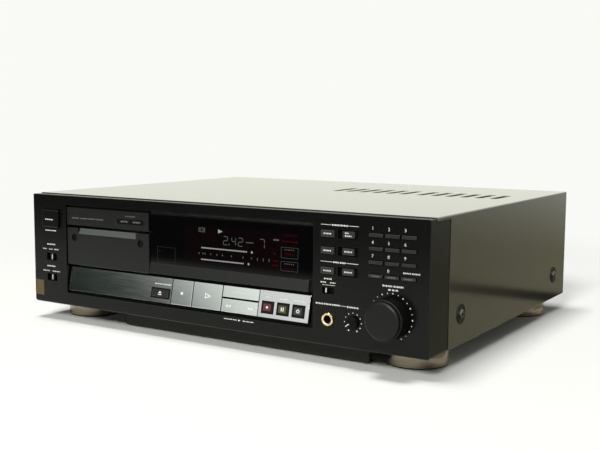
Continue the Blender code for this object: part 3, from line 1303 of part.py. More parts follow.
def build_level_knobs(material, ring_material):
    """The bevelled front knob on a shaft, and behind it the ring knob on a sleeve."""
    place = (right(LEVEL_COLUMN), back(0.0), up(LEVEL_LEVEL))
    knob_back = -LEVEL_RING_PROUD - LEVEL_RING_GAP
    profile = ((-LEVEL_KNOB_PROUD, 0.0), (-LEVEL_KNOB_PROUD, LEVEL_KNOB_RADIUS - LEVEL_BEVEL_WIDTH),
               (-LEVEL_KNOB_PROUD + LEVEL_BEVEL_DEPTH, LEVEL_KNOB_RADIUS),
               (knob_back, LEVEL_KNOB_RADIUS), (knob_back, SHAFT_RADIUS),
               (SHAFT_REAR, SHAFT_RADIUS), (SHAFT_REAR, 0.0))
    shape = bmesh.new()
    add_turned(shape, profile, (0, 1, 0), (0, 0, 0), KNOB_FACETS)
    smooth(make_object("record_level_knob", shape, material, place))

    bore = SHAFT_RADIUS + SHAFT_CLEARANCE
    sleeve_end = SHAFT_REAR - CLEARANCE
    ring = ((-LEVEL_RING_PROUD, bore), (-LEVEL_RING_PROUD, LEVEL_RING_RADIUS - LEVEL_RING_CHAMFER),
            (-LEVEL_RING_PROUD + LEVEL_RING_CHAMFER, LEVEL_RING_RADIUS),
            (-KNOB_STANDOFF, LEVEL_RING_RADIUS), (-KNOB_STANDOFF, sleeve_radius()),
            (sleeve_end, sleeve_radius()), (sleeve_end, bore), (-LEVEL_RING_PROUD, bore))
    shape = bmesh.new()
    add_turned(shape, ring, (0, 1, 0), (0, 0, 0), KNOB_FACETS)
    smooth(make_object("record_balance_ring", shape, ring_material, place))


def build_key_board(material):
    """The printed board behind the keys, with their switches and two level controls."""
    x_high = right(BOARD_RIGHT)
    x_low = x_high - BOARD_WIDTH
    step = x_low + BOARD_STEP_WIDTH
    outline = ((x_low, up(BOARD_STEP_LEVEL)), (step, up(BOARD_STEP_LEVEL)),
               (step, up(BOARD_BOTTOM)), (x_high, up(BOARD_BOTTOM)),
               (x_high, up(BOARD_TOP)), (x_low, up(BOARD_TOP)))
    shape = bmesh.new()
    add_prism(shape, outline, "y", back(BOARD_FRONT), back(BOARD_FRONT + BOARD_THICKNESS))
    board = make_object("key_board", shape, material)
    bodies = bmesh.new()
    rear = back(BOARD_FRONT + SOLDER_LAP)
    places = number_key_places()
    for height in id_key_heights():
        places.append((right(ID_KEY_COLUMN), height))
        places.append((right(GUARDED_KEY_COLUMN), height))
    for x, z in places:
        hole(bodies, x, z, SWITCH_BODY, SWITCH_BODY, back(SWITCH_BODY_FRONT), rear)
    front = back(SHAFT_REAR + CLEARANCE)
    hole(bodies, right(LEVEL_COLUMN), up(LEVEL_LEVEL), POT_BODY, POT_BODY, front, rear)
    hole(bodies, right(PHONES_KNOB_COLUMN), up(PHONES_KNOB_LEVEL), SMALL_POT_BODY, SMALL_POT_BODY,
         front, rear)
    boolean(board, make_object("board_switches", bodies), "UNION")
    return board


def build_main_board(material):
    """The main printed board on posts, with its shield, heat sink and capacitors."""
    low_x = left(BAY_CENTRE) + frame_width() / 2 + MAIN_BOARD_FRAME_GAP
    high_x = right(MAIN_BOARD_RIGHT)
    width = high_x - low_x
    low_y = back(MAIN_BOARD_FRONT)
    high_y = back(CABINET_DEPTH - MAIN_BOARD_REAR_INSET)
    length = high_y - low_y
    level = up(MAIN_BOARD_LEVEL)
    top = level + BOARD_THICKNESS
    sunk = top - SOLDER_LAP
    shape = bmesh.new()
    add_box(shape, low_x, high_x, low_y, high_y, level, top)
    board = make_object("main_board", shape, material)
    parts = bmesh.new()
    inset = MAIN_BOARD_POST_INSET
    post = MAIN_BOARD_POST / 2
    for x in (low_x + inset, high_x - inset):
        for y in (low_y + inset, high_y - inset):
            add_box(parts, x - post, x + post, y - post, y + post,
                    up(CHASSIS_SHEET + CLEARANCE), level + SOLDER_LAP)
    shield_x = low_x + width * SHIELD_SHARES[0]
    shield_y = low_y + length * SHIELD_SHARES[1]
    add_box(parts, shield_x, shield_x + width * SHIELD_WIDTH_SHARE, shield_y, shield_y + SHIELD_LENGTH,
            sunk, top + SHIELD_HEIGHT)
    cap_x = low_x + width * CAPACITOR_SHARES[0]
    cap_y = low_y + length * CAPACITOR_SHARES[1]
    for index in range(2):
        profile = ((0.0, 0.0), (0.0, CAPACITOR_RADIUS),
                   (CAPACITOR_HEIGHT, CAPACITOR_RADIUS), (CAPACITOR_HEIGHT, 0.0))
        add_turned(parts, profile, (0, 0, 1), (cap_x, cap_y - index * CAPACITOR_PITCH, sunk),
                   SMALL_FACETS)
    sink_x = low_x + width * HEATSINK_SHARES[0]
    sink_y = low_y + length * HEATSINK_SHARES[1]
    outline = [(sink_x, sink_y), (sink_x, sink_y + HEATSINK_LENGTH),
               (sink_x + HEATSINK_FIN, sink_y + HEATSINK_LENGTH)]
    for index in reversed(range(HEATSINK_FINS)):
        fin = sink_y + OVERRUN + index * HEATSINK_FIN_PITCH
        outline += [(sink_x + HEATSINK_FIN, fin + HEATSINK_FIN),
                    (sink_x + HEATSINK_FIN + HEATSINK_FIN_DEPTH, fin + HEATSINK_FIN),
                    (sink_x + HEATSINK_FIN + HEATSINK_FIN_DEPTH, fin),
                    (sink_x + HEATSINK_FIN, fin)]
    outline.append((sink_x + HEATSINK_FIN, sink_y))
    add_prism(parts, outline, "z", sunk, top + HEATSINK_HEIGHT)
    boolean(board, make_object("main_board_parts", parts), "UNION")
    return board


def build_transformer(material):
    """The mains transformer: a laminated core, its coil and a foot plate."""
    x = right(TRANSFORMER_COLUMN)
    y = back(CABINET_DEPTH - TRANSFORMER_REAR_INSET)
    floor = up(CHASSIS_SHEET + CLEARANCE)
    base_top = floor + TRANSFORMER_BASE_HEIGHT
    core_low = base_top - TRANSFORMER_BASE_HEIGHT / 2
    shape = bmesh.new()
    add_box(shape, x - TRANSFORMER_BASE_WIDTH / 2, x + TRANSFORMER_BASE_WIDTH / 2,
            y - CORE_LENGTH / 2, y + CORE_LENGTH / 2, floor, base_top)
    transformer = make_object("power_transformer", shape, material)
    core = bmesh.new()
    add_box(core, x - CORE_WIDTH / 2, x + CORE_WIDTH / 2, y - CORE_LENGTH / 2 + CLEARANCE,
            y + CORE_LENGTH / 2 - CLEARANCE, core_low, base_top + CORE_HEIGHT)
    boolean(transformer, make_object("transformer_core", core), "UNION")
    coil = bmesh.new()
    middle = base_top + CORE_HEIGHT / 2
    half_length = COIL_LENGTH / 2
    sections = ((-half_length, COIL_CHAMFER), (-half_length + COIL_CHAMFER, 0.0),
                (half_length - COIL_CHAMFER, 0.0), (half_length, COIL_CHAMFER))
    rings = []
    for along, inset in sections:
        wide = COIL_WIDTH / 2 - inset
        high = COIL_HEIGHT / 2 - inset
        rings.append(flat_ring(y + along, x - wide, x + wide, middle - high, middle + high))
    add_loft(coil, rings)
    boolean(transformer, make_object("transformer_coil", coil), "UNION")
    return transformer


def build_jack_block(material):
    """The moulded block behind the rear panel that carries all the signal sockets."""
    xs = [x for x, _ in rca_places() + optical_places()]
    zs = [z for _, z in rca_places()]
    margin = JACK_BLOCK_MARGIN
    front = back(REAR_FACE - REAR_SHEET - CLEARANCE - JACK_BLOCK_THICKNESS)
    rear = front + JACK_BLOCK_THICKNESS
    reach = back(CABINET_DEPTH + RCA_REACH)
    shape = bmesh.new()
    add_box(shape, min(xs) - margin, max(xs) + margin, front, rear,
            min(zs) - margin, max(zs) + margin)
    block = make_object("jack_block", shape, material)
    barrels = bmesh.new()
    collar = back(REAR_FACE) + RCA_COLLAR - rear
    length = reach - rear
    for x, z in rca_places():
        profile = ((-OVERRUN, 0.0), (-OVERRUN, RCA_COLLAR_RADIUS), (collar, RCA_COLLAR_RADIUS),
                   (collar, RCA_RADIUS), (length, RCA_RADIUS), (length, RCA_BORE_RADIUS),
                   (length - RCA_BORE_DEPTH, RCA_BORE_RADIUS), (length - RCA_BORE_DEPTH, 0.0))
        add_turned(barrels, profile, (0, 1, 0), (x, rear, z), SMALL_FACETS)
    for x, z in optical_places():
        hole(barrels, x, z, OPTICAL_WIDTH, OPTICAL_WIDTH, rear - OVERRUN,
             back(REAR_FACE + OPTICAL_PROUD))
    boolean(block, make_object("jack_barrels", barrels), "UNION")
    plugs = bmesh.new()
    for x, z in optical_places():
        hole(plugs, x, z, OPTICAL_PLUG, OPTICAL_PLUG, back(REAR_FACE),
             back(REAR_FACE + OPTICAL_PROUD + OPTICAL_PROUD))
    boolean(block, make_object("optical_plugs", plugs), "UNION")
    return block


def build_mains_inlet(material):
    """A two-pin mains inlet in the rear panel."""
    x = right(INLET_COLUMN)
    z = up(INLET_LEVEL)
    face = REAR_FACE + CLEARANCE + INLET_FLANGE_THICKNESS
    body = (x - INLET_WIDTH / 2, x + INLET_WIDTH / 2, z - INLET_HEIGHT / 2, z + INLET_HEIGHT / 2)
    lap = INLET_FLANGE
    flange = (body[0] - lap, body[1] + lap, body[2] - lap, body[3] + lap)
    shape = bmesh.new()
    add_loft(shape, [flat_ring(back(face - INLET_DEPTH), *body),
                     flat_ring(back(REAR_FACE + CLEARANCE), *body),
                     flat_ring(back(REAR_FACE + CLEARANCE), *flange),
                     flat_ring(back(face), *flange)])
    inlet = make_object("mains_inlet", shape, material)
    recess = bmesh.new()
    outline = [(x + px, z + pz) for px, pz in
               rounded_outline(INLET_RECESS_WIDTH, INLET_RECESS_HEIGHT,
                               INLET_RECESS_HEIGHT / 2 - WELD_DISTANCE, CORNER_STEPS)]
    add_prism(recess, outline, "y", back(face - INLET_RECESS_DEPTH), back(face + OVERRUN))
    boolean(inlet, make_object("inlet_recess", recess), "DIFFERENCE")
    pins = bmesh.new()
    for side in (-1, 1):
        start = back(face - INLET_RECESS_DEPTH - OVERRUN)
        length = INLET_PIN_LENGTH + OVERRUN
        profile = ((0.0, 0.0), (0.0, INLET_PIN_RADIUS), (length, INLET_PIN_RADIUS), (length, 0.0))
        add_turned(pins, profile, (0, 1, 0), (x + side * INLET_PIN_PITCH / 2, start, z), BOSS_FACETS)
    boolean(inlet, make_object("inlet_pins", pins), "UNION")
    return inlet


def main():
    clear_scene()
    black_plastic = make_material("matt black ABS", (0.018, 0.018, 0.017), 0.5)
    panel_plastic = make_material("satin grey-black ABS", (0.03, 0.031, 0.031), 0.4)
    key_plastic = make_material("grey key plastic", (0.10, 0.10, 0.10), 0.4)
    strip_metal = make_material("dark brushed aluminium", (0.16, 0.16, 0.17), 0.3, 1.0)
    paint = make_material("textured black enamel on steel", (0.06, 0.06, 0.05), 0.4)
    zinc = make_material("zinc-plated steel", (0.45, 0.45, 0.42), 0.35, 1.0)
    champagne = make_material("champagne anodised aluminium", (0.42, 0.36, 0.27), 0.3, 1.0)
    smoked = make_material("smoked acrylic", (0.01, 0.008, 0.009), 0.05)
    glass = make_material("display tube glass", (0.05, 0.05, 0.055), 0.1)
    gold = make_material("gold-plated brass", (0.83, 0.58, 0.18), 0.2, 1.0)
    acetal = make_material("white acetal", (0.75, 0.74, 0.70), 0.45)
    laminate = make_material("green glass-fibre board", (0.03, 0.12, 0.05), 0.5)
    core = make_material("varnished steel laminations", (0.09, 0.07, 0.05), 0.45)
    drum_metal = make_material("turned aluminium", (0.75, 0.75, 0.76), 0.2, 1.0)

    build_fascia(black_plastic)
    build_top_cover(paint)
    build_chassis(zinc)
    build_rear_panel(paint)
    rear_foot_setback = CABINET_DEPTH - REAR_FOOT_INSET
    for name, x, setback in (("foot_front_left", left(FOOT_INSET), FRONT_FOOT_SETBACK),
                             ("foot_front_right", right(FOOT_INSET), FRONT_FOOT_SETBACK),
                             ("foot_rear_left", left(FOOT_INSET), rear_foot_setback),
                             ("foot_rear_right", right(FOOT_INSET), rear_foot_setback)):
        build_foot(name, x, setback, champagne)
    build_brace(paint)
    build_counter_panel(panel_plastic)
    build_counter_keys(key_plastic)
    build_drawer_face(panel_plastic)
    build_drawer_tray(panel_plastic)
    build_pinion(acetal)
    build_mechanism_frame(zinc)
    build_head_drum(drum_metal)
    build_display_window(smoked)
    build_display_tube(glass)
    build_control_panel(strip_metal)
    build_strip_keys(strip_metal)
    build_strip_buttons(strip_metal)
    build_fascia_keys(key_plastic)
    build_power_button(black_plastic)
    build_slide_switches(black_plastic)
    build_socket(gold)
    build_phones_knob(black_plastic)
    build_level_knobs(black_plastic, black_plastic)
    build_key_board(laminate)
    build_main_board(laminate)
    build_transformer(core)
    build_jack_block(black_plastic)
    build_mains_inlet(black_plastic)


if __name__ == "__main__":
    main()
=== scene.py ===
# The looks of a full-width digital audio tape deck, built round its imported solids.
# The shared frame is in metres: X runs to the deck's right, Y to its back and Z up.
# Places on the front are in millimetres: x from the deck's middle, y behind the
# fascia's face and z above the chassis's underside. spot() turns them into the frame.

import json
import math

import bmesh
import bpy
from bpy.props import FloatProperty, FloatVectorProperty, IntProperty, PointerProperty
from bpy.types import Operator, Panel, PropertyGroup
from mathutils import Matrix, Vector

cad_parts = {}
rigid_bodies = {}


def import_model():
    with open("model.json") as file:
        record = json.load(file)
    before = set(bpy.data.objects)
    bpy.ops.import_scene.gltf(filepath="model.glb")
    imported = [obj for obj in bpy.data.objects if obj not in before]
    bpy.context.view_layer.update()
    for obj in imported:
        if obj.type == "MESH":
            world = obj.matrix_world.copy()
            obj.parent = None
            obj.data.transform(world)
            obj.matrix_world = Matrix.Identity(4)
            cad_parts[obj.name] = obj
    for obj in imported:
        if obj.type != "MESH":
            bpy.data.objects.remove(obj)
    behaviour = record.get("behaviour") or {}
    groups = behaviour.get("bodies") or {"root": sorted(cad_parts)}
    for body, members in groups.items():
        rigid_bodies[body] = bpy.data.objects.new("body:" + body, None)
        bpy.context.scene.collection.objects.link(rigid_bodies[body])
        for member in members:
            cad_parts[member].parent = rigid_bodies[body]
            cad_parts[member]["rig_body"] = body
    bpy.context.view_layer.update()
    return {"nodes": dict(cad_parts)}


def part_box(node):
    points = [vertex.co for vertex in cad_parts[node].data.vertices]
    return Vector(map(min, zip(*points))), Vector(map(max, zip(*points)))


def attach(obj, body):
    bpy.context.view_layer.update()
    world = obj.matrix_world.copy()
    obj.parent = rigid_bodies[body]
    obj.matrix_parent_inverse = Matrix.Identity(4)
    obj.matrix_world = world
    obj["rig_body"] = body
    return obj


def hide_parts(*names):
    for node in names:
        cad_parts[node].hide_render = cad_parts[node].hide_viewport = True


bl_info = {
    "name": "Digital audio tape deck",
    "version": (1, 0, 0),
    "blender": (4, 5, 0),
    "location": "3D View > Sidebar > Tape deck",
    "description": "Builds the looks of a full-width digital audio tape deck round its solids",
    "category": "Object",
}

for startup_object in list(bpy.data.objects):
    bpy.data.objects.remove(startup_object, do_unlink=True)

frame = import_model()

MM = 0.001
WELD = 0.01 * MM
WIDE_FACE = 1.0 * MM
FLAT_ANGLE = math.radians(0.5)
BEVEL_ANGLE = math.radians(28.0)
SHARP_ANGLE = math.radians(32.0)
ORIGIN = (0.0, 0.0, 0.0)
UP = (0.0, 0.0, 1.0)
DOWN = (0.0, 0.0, -1.0)
FORWARD = (0.0, -1.0, 0.0)
BACKWARD = (0.0, 1.0, 0.0)
FACE_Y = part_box("fascia")[0].y
BOTTOM_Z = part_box("chassis_pan")[0].z

# The display window leans back and the control strip leans further, in millimetres
PANE_BOTTOM = (2.2, 49.3)
PANE_TOP = (3.6, 93.9)
STRIP_MIDDLE = (2.6, 24.85)
STRIP_TILT = math.atan2(4.8, 22.3)

# The strip's small caps: where they stand along it and up its slope, and their size
EJECT_PLACE = (-52.4, -3.0)
RECORD_X = 65.7
PAUSE_X = 81.1
MUTE_X = 96.5
CAP_RISE = -2.8
CAP_SIZE = (9.8, 8.2)

# The headphones' level knob, how far back and up the cover is cut away behind the
# fascia's cheeks, and the middle of the cooling slots' row
PHONES_PLACE = (149.0, 19.6)
CHEEK_BACK = 36.6
CHEEK_TOP = 103.1
SLOTS_MIDDLE = 224.5

# The camera stands here, and these are its directions to the right, up and back
CAMERA_PLACE = (500.87, -631.74, 177.43)
CAMERA_AXES = ((0.84330, 0.53742, 0.00567), (-0.06409, 0.09009, 0.99387),
               (0.53361, -0.83849, 0.11041))

# Names of the finishes: what each real surface is and how it was made
BLACK_ABS = "black_abs_moulded"
SATIN_ABS = "black_abs_satin_painted"
COVER_PAINT = "steel_sheet_satin_painted"
STRIP_METAL = "aluminium_brushed_grey_anodised"
BAR_METAL = "aluminium_brushed_clear_anodised"
CHANNEL_PAINT = "steel_channel_grey_painted"
CUT_STEEL = "steel_sheet_punched_edge"
NOTCH_METAL = "aluminium_satin_anodised"
WINDOW_ACRYLIC = "acrylic_smoked_polished"
SILL_ABS = "abs_satin_grey"
KEY_ABS = "abs_grey_moulded_keys"
SMALL_KEY_ABS = "abs_dark_grey_moulded_keys"
KNOB_ABS = "abs_black_fine_turned"
# Matte black ABS, also used as painted shade in gaps, recesses and on the knobs' sides
MATTE_BLACK_AND_SHADE = "abs_black_matte"
EJECT_ABS = "abs_dark_green_grey"
RECORD_ABS = "abs_dusty_pink"
PAUSE_ABS = "abs_dull_amber"
MUTE_ABS = "abs_pale_grey_green"
WHITE_INK = "screen_ink_white"
GREY_INK = "screen_ink_grey"
LIT_WHITE = "fluorescent_segments_lit"
LIT_DIM = "fluorescent_segments_dim"
LIT_RED = "fluorescent_segments_red"
CHAMPAGNE = "aluminium_turned_champagne_anodised"
RUBBER = "rubber_moulded_black"
GOLD = "brass_turned_gold_plated"
ZINC = "steel_zinc_plated"
SCREW_BLACK = "steel_black_zinc_screw"
SCREW_BRIGHT = "steel_nickel_screw"
FOIL = "foil_blank_warm"
BOARD = "epoxy_glass_board_green"
ACETAL = "acetal_moulded_white"
CORE = "silicon_steel_laminations"
DRUM = "aluminium_diamond_turned"
TUBE_GLASS = "glass_tube_dark"
RED_PLASTIC = "nylon_moulded_red"
WHITE_PLASTIC = "nylon_moulded_white"


def linear(colour):
    """Turns an sRGB hex colour into the linear values that the shaders take."""
    parts = [int(colour[place:place + 2], 16) / 255 for place in (1, 3, 5)]
    return tuple(part / 12.92 if part <= 0.04045 else ((part + 0.055) / 1.055) ** 2.4
                 for part in parts)


def size(name, description, default, least, most):
    """A length that the panel shows with its unit."""
    return FloatProperty(name=name, description=description, default=default, min=least,
                         max=most, unit="LENGTH", precision=5)


def colour(name, description, default):
    """A colour that the panel shows as a swatch."""
    return FloatVectorProperty(name=name, description=description, subtype="COLOR", size=3,
                               min=0.0, max=1.0, default=linear(default))


class DeckSizes(PropertyGroup):
    """Sizes of the finer shapes, which the solids leave out."""

    edge_round: size("Edge rounding", "Radius on moulded and bent edges",
                     0.3 * MM, 0.05 * MM, 0.6 * MM)
    print_lift: size("Print thickness", "How far the printing stands off its surface",
                     0.05 * MM, 0.01 * MM, 0.2 * MM)
    slot_length: size("Cover slot length", "Length of a cooling slot in the cover",
                      45.0 * MM, 10.0 * MM, 60.0 * MM)
    slot_width: size("Cover slot width", "Width of a cooling slot in the cover",
                     7.6 * MM, 2.0 * MM, 9.0 * MM)
    slot_pitch: size("Cover slot pitch", "Distance from one cooling slot to the next",
                     15.2 * MM, 9.0 * MM, 20.0 * MM)
    slots_in_group: IntProperty(name="Slots in a group", description="Cooling slots in each group",
                                default=6, min=1, max=7)
    knob_ribs: IntProperty(name="Knob ribs", description="Grip ribs round the level knob",
                           default=96, min=12, max=160)
    rib_lift: size("Rib height", "How far a grip rib stands out of its knob",
                   0.22 * MM, 0.05 * MM, 0.5 * MM)
    screw_radius: size("Cover screw radius", "Radius of the heads of the cover's side screws",
                       3.9 * MM, 2.0 * MM, 6.0 * MM)
    small_screw_radius: size("Small screw radius", "Radius of the screw heads behind and below",
                             2.9 * MM, 1.5 * MM, 4.0 * MM)


class DeckColours(PropertyGroup):
    """Colours of the deck's finishes."""

    fascia: colour("Fascia", "Moulded front", "#0C0D0B")
    panels: colour("Panels", "Drawer front and counter panel", "#131413")
    cover: colour("Cover", "Painted bonnet", "#36342C")
    strip: colour("Control strip", "Brushed strip", "#D1D4D2")
    bars: colour("Transport bars", "Large keys in the strip", "#E3EAE4")
    notch: colour("Drawer notch", "Bright slope that the finger pulls", "#5C605C")
    window: colour("Window", "Smoked window round the display", "#050506")
    window_tint: colour("Window tint", "Wine tint over the display itself", "#0B0506")
    keys: colour("Keys", "ID keys", "#272927")
    small_keys: colour("Number keys", "Number keys and counter keys", "#1C1D1B")
    knobs: colour("Knobs", "Faces of the level knobs", "#141513")
    ink: colour("Printing", "Screen printing on the front", "#E4E6DE")
    lit: colour("Lit figures", "Lit segments of the display", "#DCE4DF")
    lit_red: colour("Red figures", "Red segments of the display", "#7A1620")
    feet: colour("Feet", "Anodised feet", "#A89D88")
    gold: colour("Gold", "Plated sockets", "#F4DDA0")
    record: colour("Record button", "Cap of the record button", "#5C242B")
    pause: colour("Pause button", "Cap of the pause button", "#4B4727")
    mute: colour("Mute button", "Cap of the mute button", "#2C312E")


class StageSettings(PropertyGroup):
    """Floor, light and camera."""

    floor: colour("Floor", "Pale studio floor", "#F4F5F0")
    backdrop: colour("Backdrop", "What the camera and polished surfaces see beyond the floor",
                     "#F9FAF5")
    room: colour("Room", "What polished surfaces see of the room", "#F0F2E5")
    sky_level: FloatProperty(name="Room light", description="Strength of the light from all sides",
                             default=0.15, min=0.0, max=2.0)
    key_power: FloatProperty(name="Key light", description="Power of the lamp overhead",
                             default=165.0, min=0.0, subtype="POWER")
    front_power: FloatProperty(name="Front light", description="Power of the lamp in front",
                               default=200.0, min=0.0, subtype="POWER")
    key_width: FloatProperty(name="Lamp width", description="Width of each lamp",
                             default=1.4, min=0.05, max=4.0, subtype="DISTANCE")
    focal_length: FloatProperty(name="Focal length", description="Focal length of the camera",
                                default=55.64, min=10.0, subtype="DISTANCE_CAMERA")


def spot(x, y, z):
    """A place on the deck's front, from millimetres to the shared frame."""
    return Vector((x * MM, FACE_Y + y * MM, BOTTOM_Z + z * MM))


def on_back(x, z):
    """A place on the rear panel's outer face, from millimetres to the shared frame."""
    return Vector((x * MM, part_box("rear_panel")[1].y, BOTTOM_Z + z * MM))


def upright(setback):
    """A surface that stands upright, so many millimetres behind the fascia's face."""
    return lambda x, z, out: spot(x, setback - out, z)


def window_pane(x, z, out):
    """The leaning face of the display window."""
    share = (z - PANE_BOTTOM[1]) / (PANE_TOP[1] - PANE_BOTTOM[1])
    return spot(x, PANE_BOTTOM[0] + share * (PANE_TOP[0] - PANE_BOTTOM[0]) - out, z)


def leaning_strip(x, rise, out):
    """The control strip's face. rise is measured up the slope from its middle."""
    y = STRIP_MIDDLE[0] + rise * math.sin(STRIP_TILT) - out * math.cos(STRIP_TILT)
    z = STRIP_MIDDLE[1] + rise * math.cos(STRIP_TILT) + out * math.sin(STRIP_TILT)
    return spot(x, y, z)


# Nodes and finishes


def feed(tree, node, inputs):
    """Sets a node's sockets, by value or by a link from another node's socket."""
    for name, value in inputs.items():
        if isinstance(value, bpy.types.NodeSocket):
            tree.links.new(value, node.inputs[name])
        else:
            node.inputs[name].default_value = value


def add_node(tree, kind, inputs=None, **settings):
    """Adds a node with its settings, and with its sockets set or linked."""
    node = tree.nodes.new(kind)
    for name, value in settings.items():
        setattr(node, name, value)
    feed(tree, node, inputs or {})
    return node


def finish(name, base, roughness, metallic=0.0, uniform=None):
    """Starts a finish on one Principled shader, with its uniform values on the sockets."""
    material = bpy.data.materials.new(name)
    material.use_nodes = True
    material.diffuse_color = (*base, 1.0)
    shader = material.node_tree.nodes["Principled BSDF"]
    feed(material.node_tree, shader, {"Base Color": (*base, 1.0), "Roughness": roughness,
                                      "Metallic": metallic, **(uniform or {})})
    return material


def add_grain(material, grain, depth, stretch=(1.0, 1.0, 1.0), gloss=None, shades=None):
    """Gives a finish its texture: noise of a real size that lifts the surface.

    grain and depth are in metres, stretch lengthens the grain along an axis, gloss is the
    span of roughness that the noise runs over, and shades the two colours it mixes.
    """
    tree = material.node_tree
    shader = tree.nodes["Principled BSDF"]
    place = add_node(tree, "ShaderNodeTexCoord")
    scale = [1.0 / (grain * along) for along in stretch]
    mapping = add_node(tree, "ShaderNodeMapping",
                       {"Vector": place.outputs["Object"], "Scale": scale})
    noise = add_node(tree, "ShaderNodeTexNoise",
                     {"Vector": mapping.outputs[0], "Scale": 1.0, "Detail": 2.0})
    if depth:
        bump = add_node(tree, "ShaderNodeBump",
                        {"Height": noise.outputs[0], "Distance": depth, "Strength": 1.0})
        feed(tree, shader, {"Normal": bump.outputs[0]})
    if gloss:
        span = add_node(tree, "ShaderNodeMapRange",
                        {"Value": noise.outputs[0], "From Min": 0.3, "From Max": 0.7,
                         "To Min": gloss[0], "To Max": gloss[1]})
        feed(tree, shader, {"Roughness": span.outputs[0]})
    if shades:
        mix = add_node(tree, "ShaderNodeMix",
                       {0: noise.outputs[0], 6: (*shades[0], 1.0), 7: (*shades[1], 1.0)},
                       data_type="RGBA")
        feed(tree, shader, {"Base Color": mix.outputs[2]})


def glow(name, base, strength):
    """A lit phosphor: it shines by itself, and reflects next to nothing."""
    unlit = tuple(0.01 * part for part in base)
    return finish(name, unlit, 0.6, 0.0, {"Emission Color": (*base, 1.0),
                                          "Emission Strength": strength,
                                          "Specular IOR Level": 0.0})


def tint_window(material, clear, tint):
    """Colours the smoked acrylic wine red where the display's filter lies behind it."""
    tree = material.node_tree
    shader = tree.nodes["Principled BSDF"]
    place = add_node(tree, "ShaderNodeTexCoord")
    filter_middle = spot(34.0, 3.0, 70.0)
    half_width = 62.0 * MM
    half_height = 19.0 * MM
    fade = 5.0 * MM
    mapping = add_node(tree, "ShaderNodeMapping",
                       {"Vector": place.outputs["Object"], "Location": -filter_middle})
    parts = add_node(tree, "ShaderNodeSeparateXYZ", {"Vector": mapping.outputs[0]})
    masks = []
    for socket, reach in (("X", half_width), ("Z", half_height)):
        distance = add_node(tree, "ShaderNodeMath", {0: parts.outputs[socket]},
                            operation="ABSOLUTE")
        masks.append(add_node(tree, "ShaderNodeMapRange",
                              {"Value": distance.outputs[0], "From Min": reach - fade,
                               "From Max": reach, "To Min": 1.0, "To Max": 0.0}))
    both = add_node(tree, "ShaderNodeMath", {0: masks[0].outputs[0], 1: masks[1].outputs[0]},
                    operation="MULTIPLY")
    mix = add_node(tree, "ShaderNodeMix",
                   {0: both.outputs[0], 6: (*clear, 1.0), 7: (*tint, 1.0)}, data_type="RGBA")
    feed(tree, shader, {"Base Color": mix.outputs[2]})


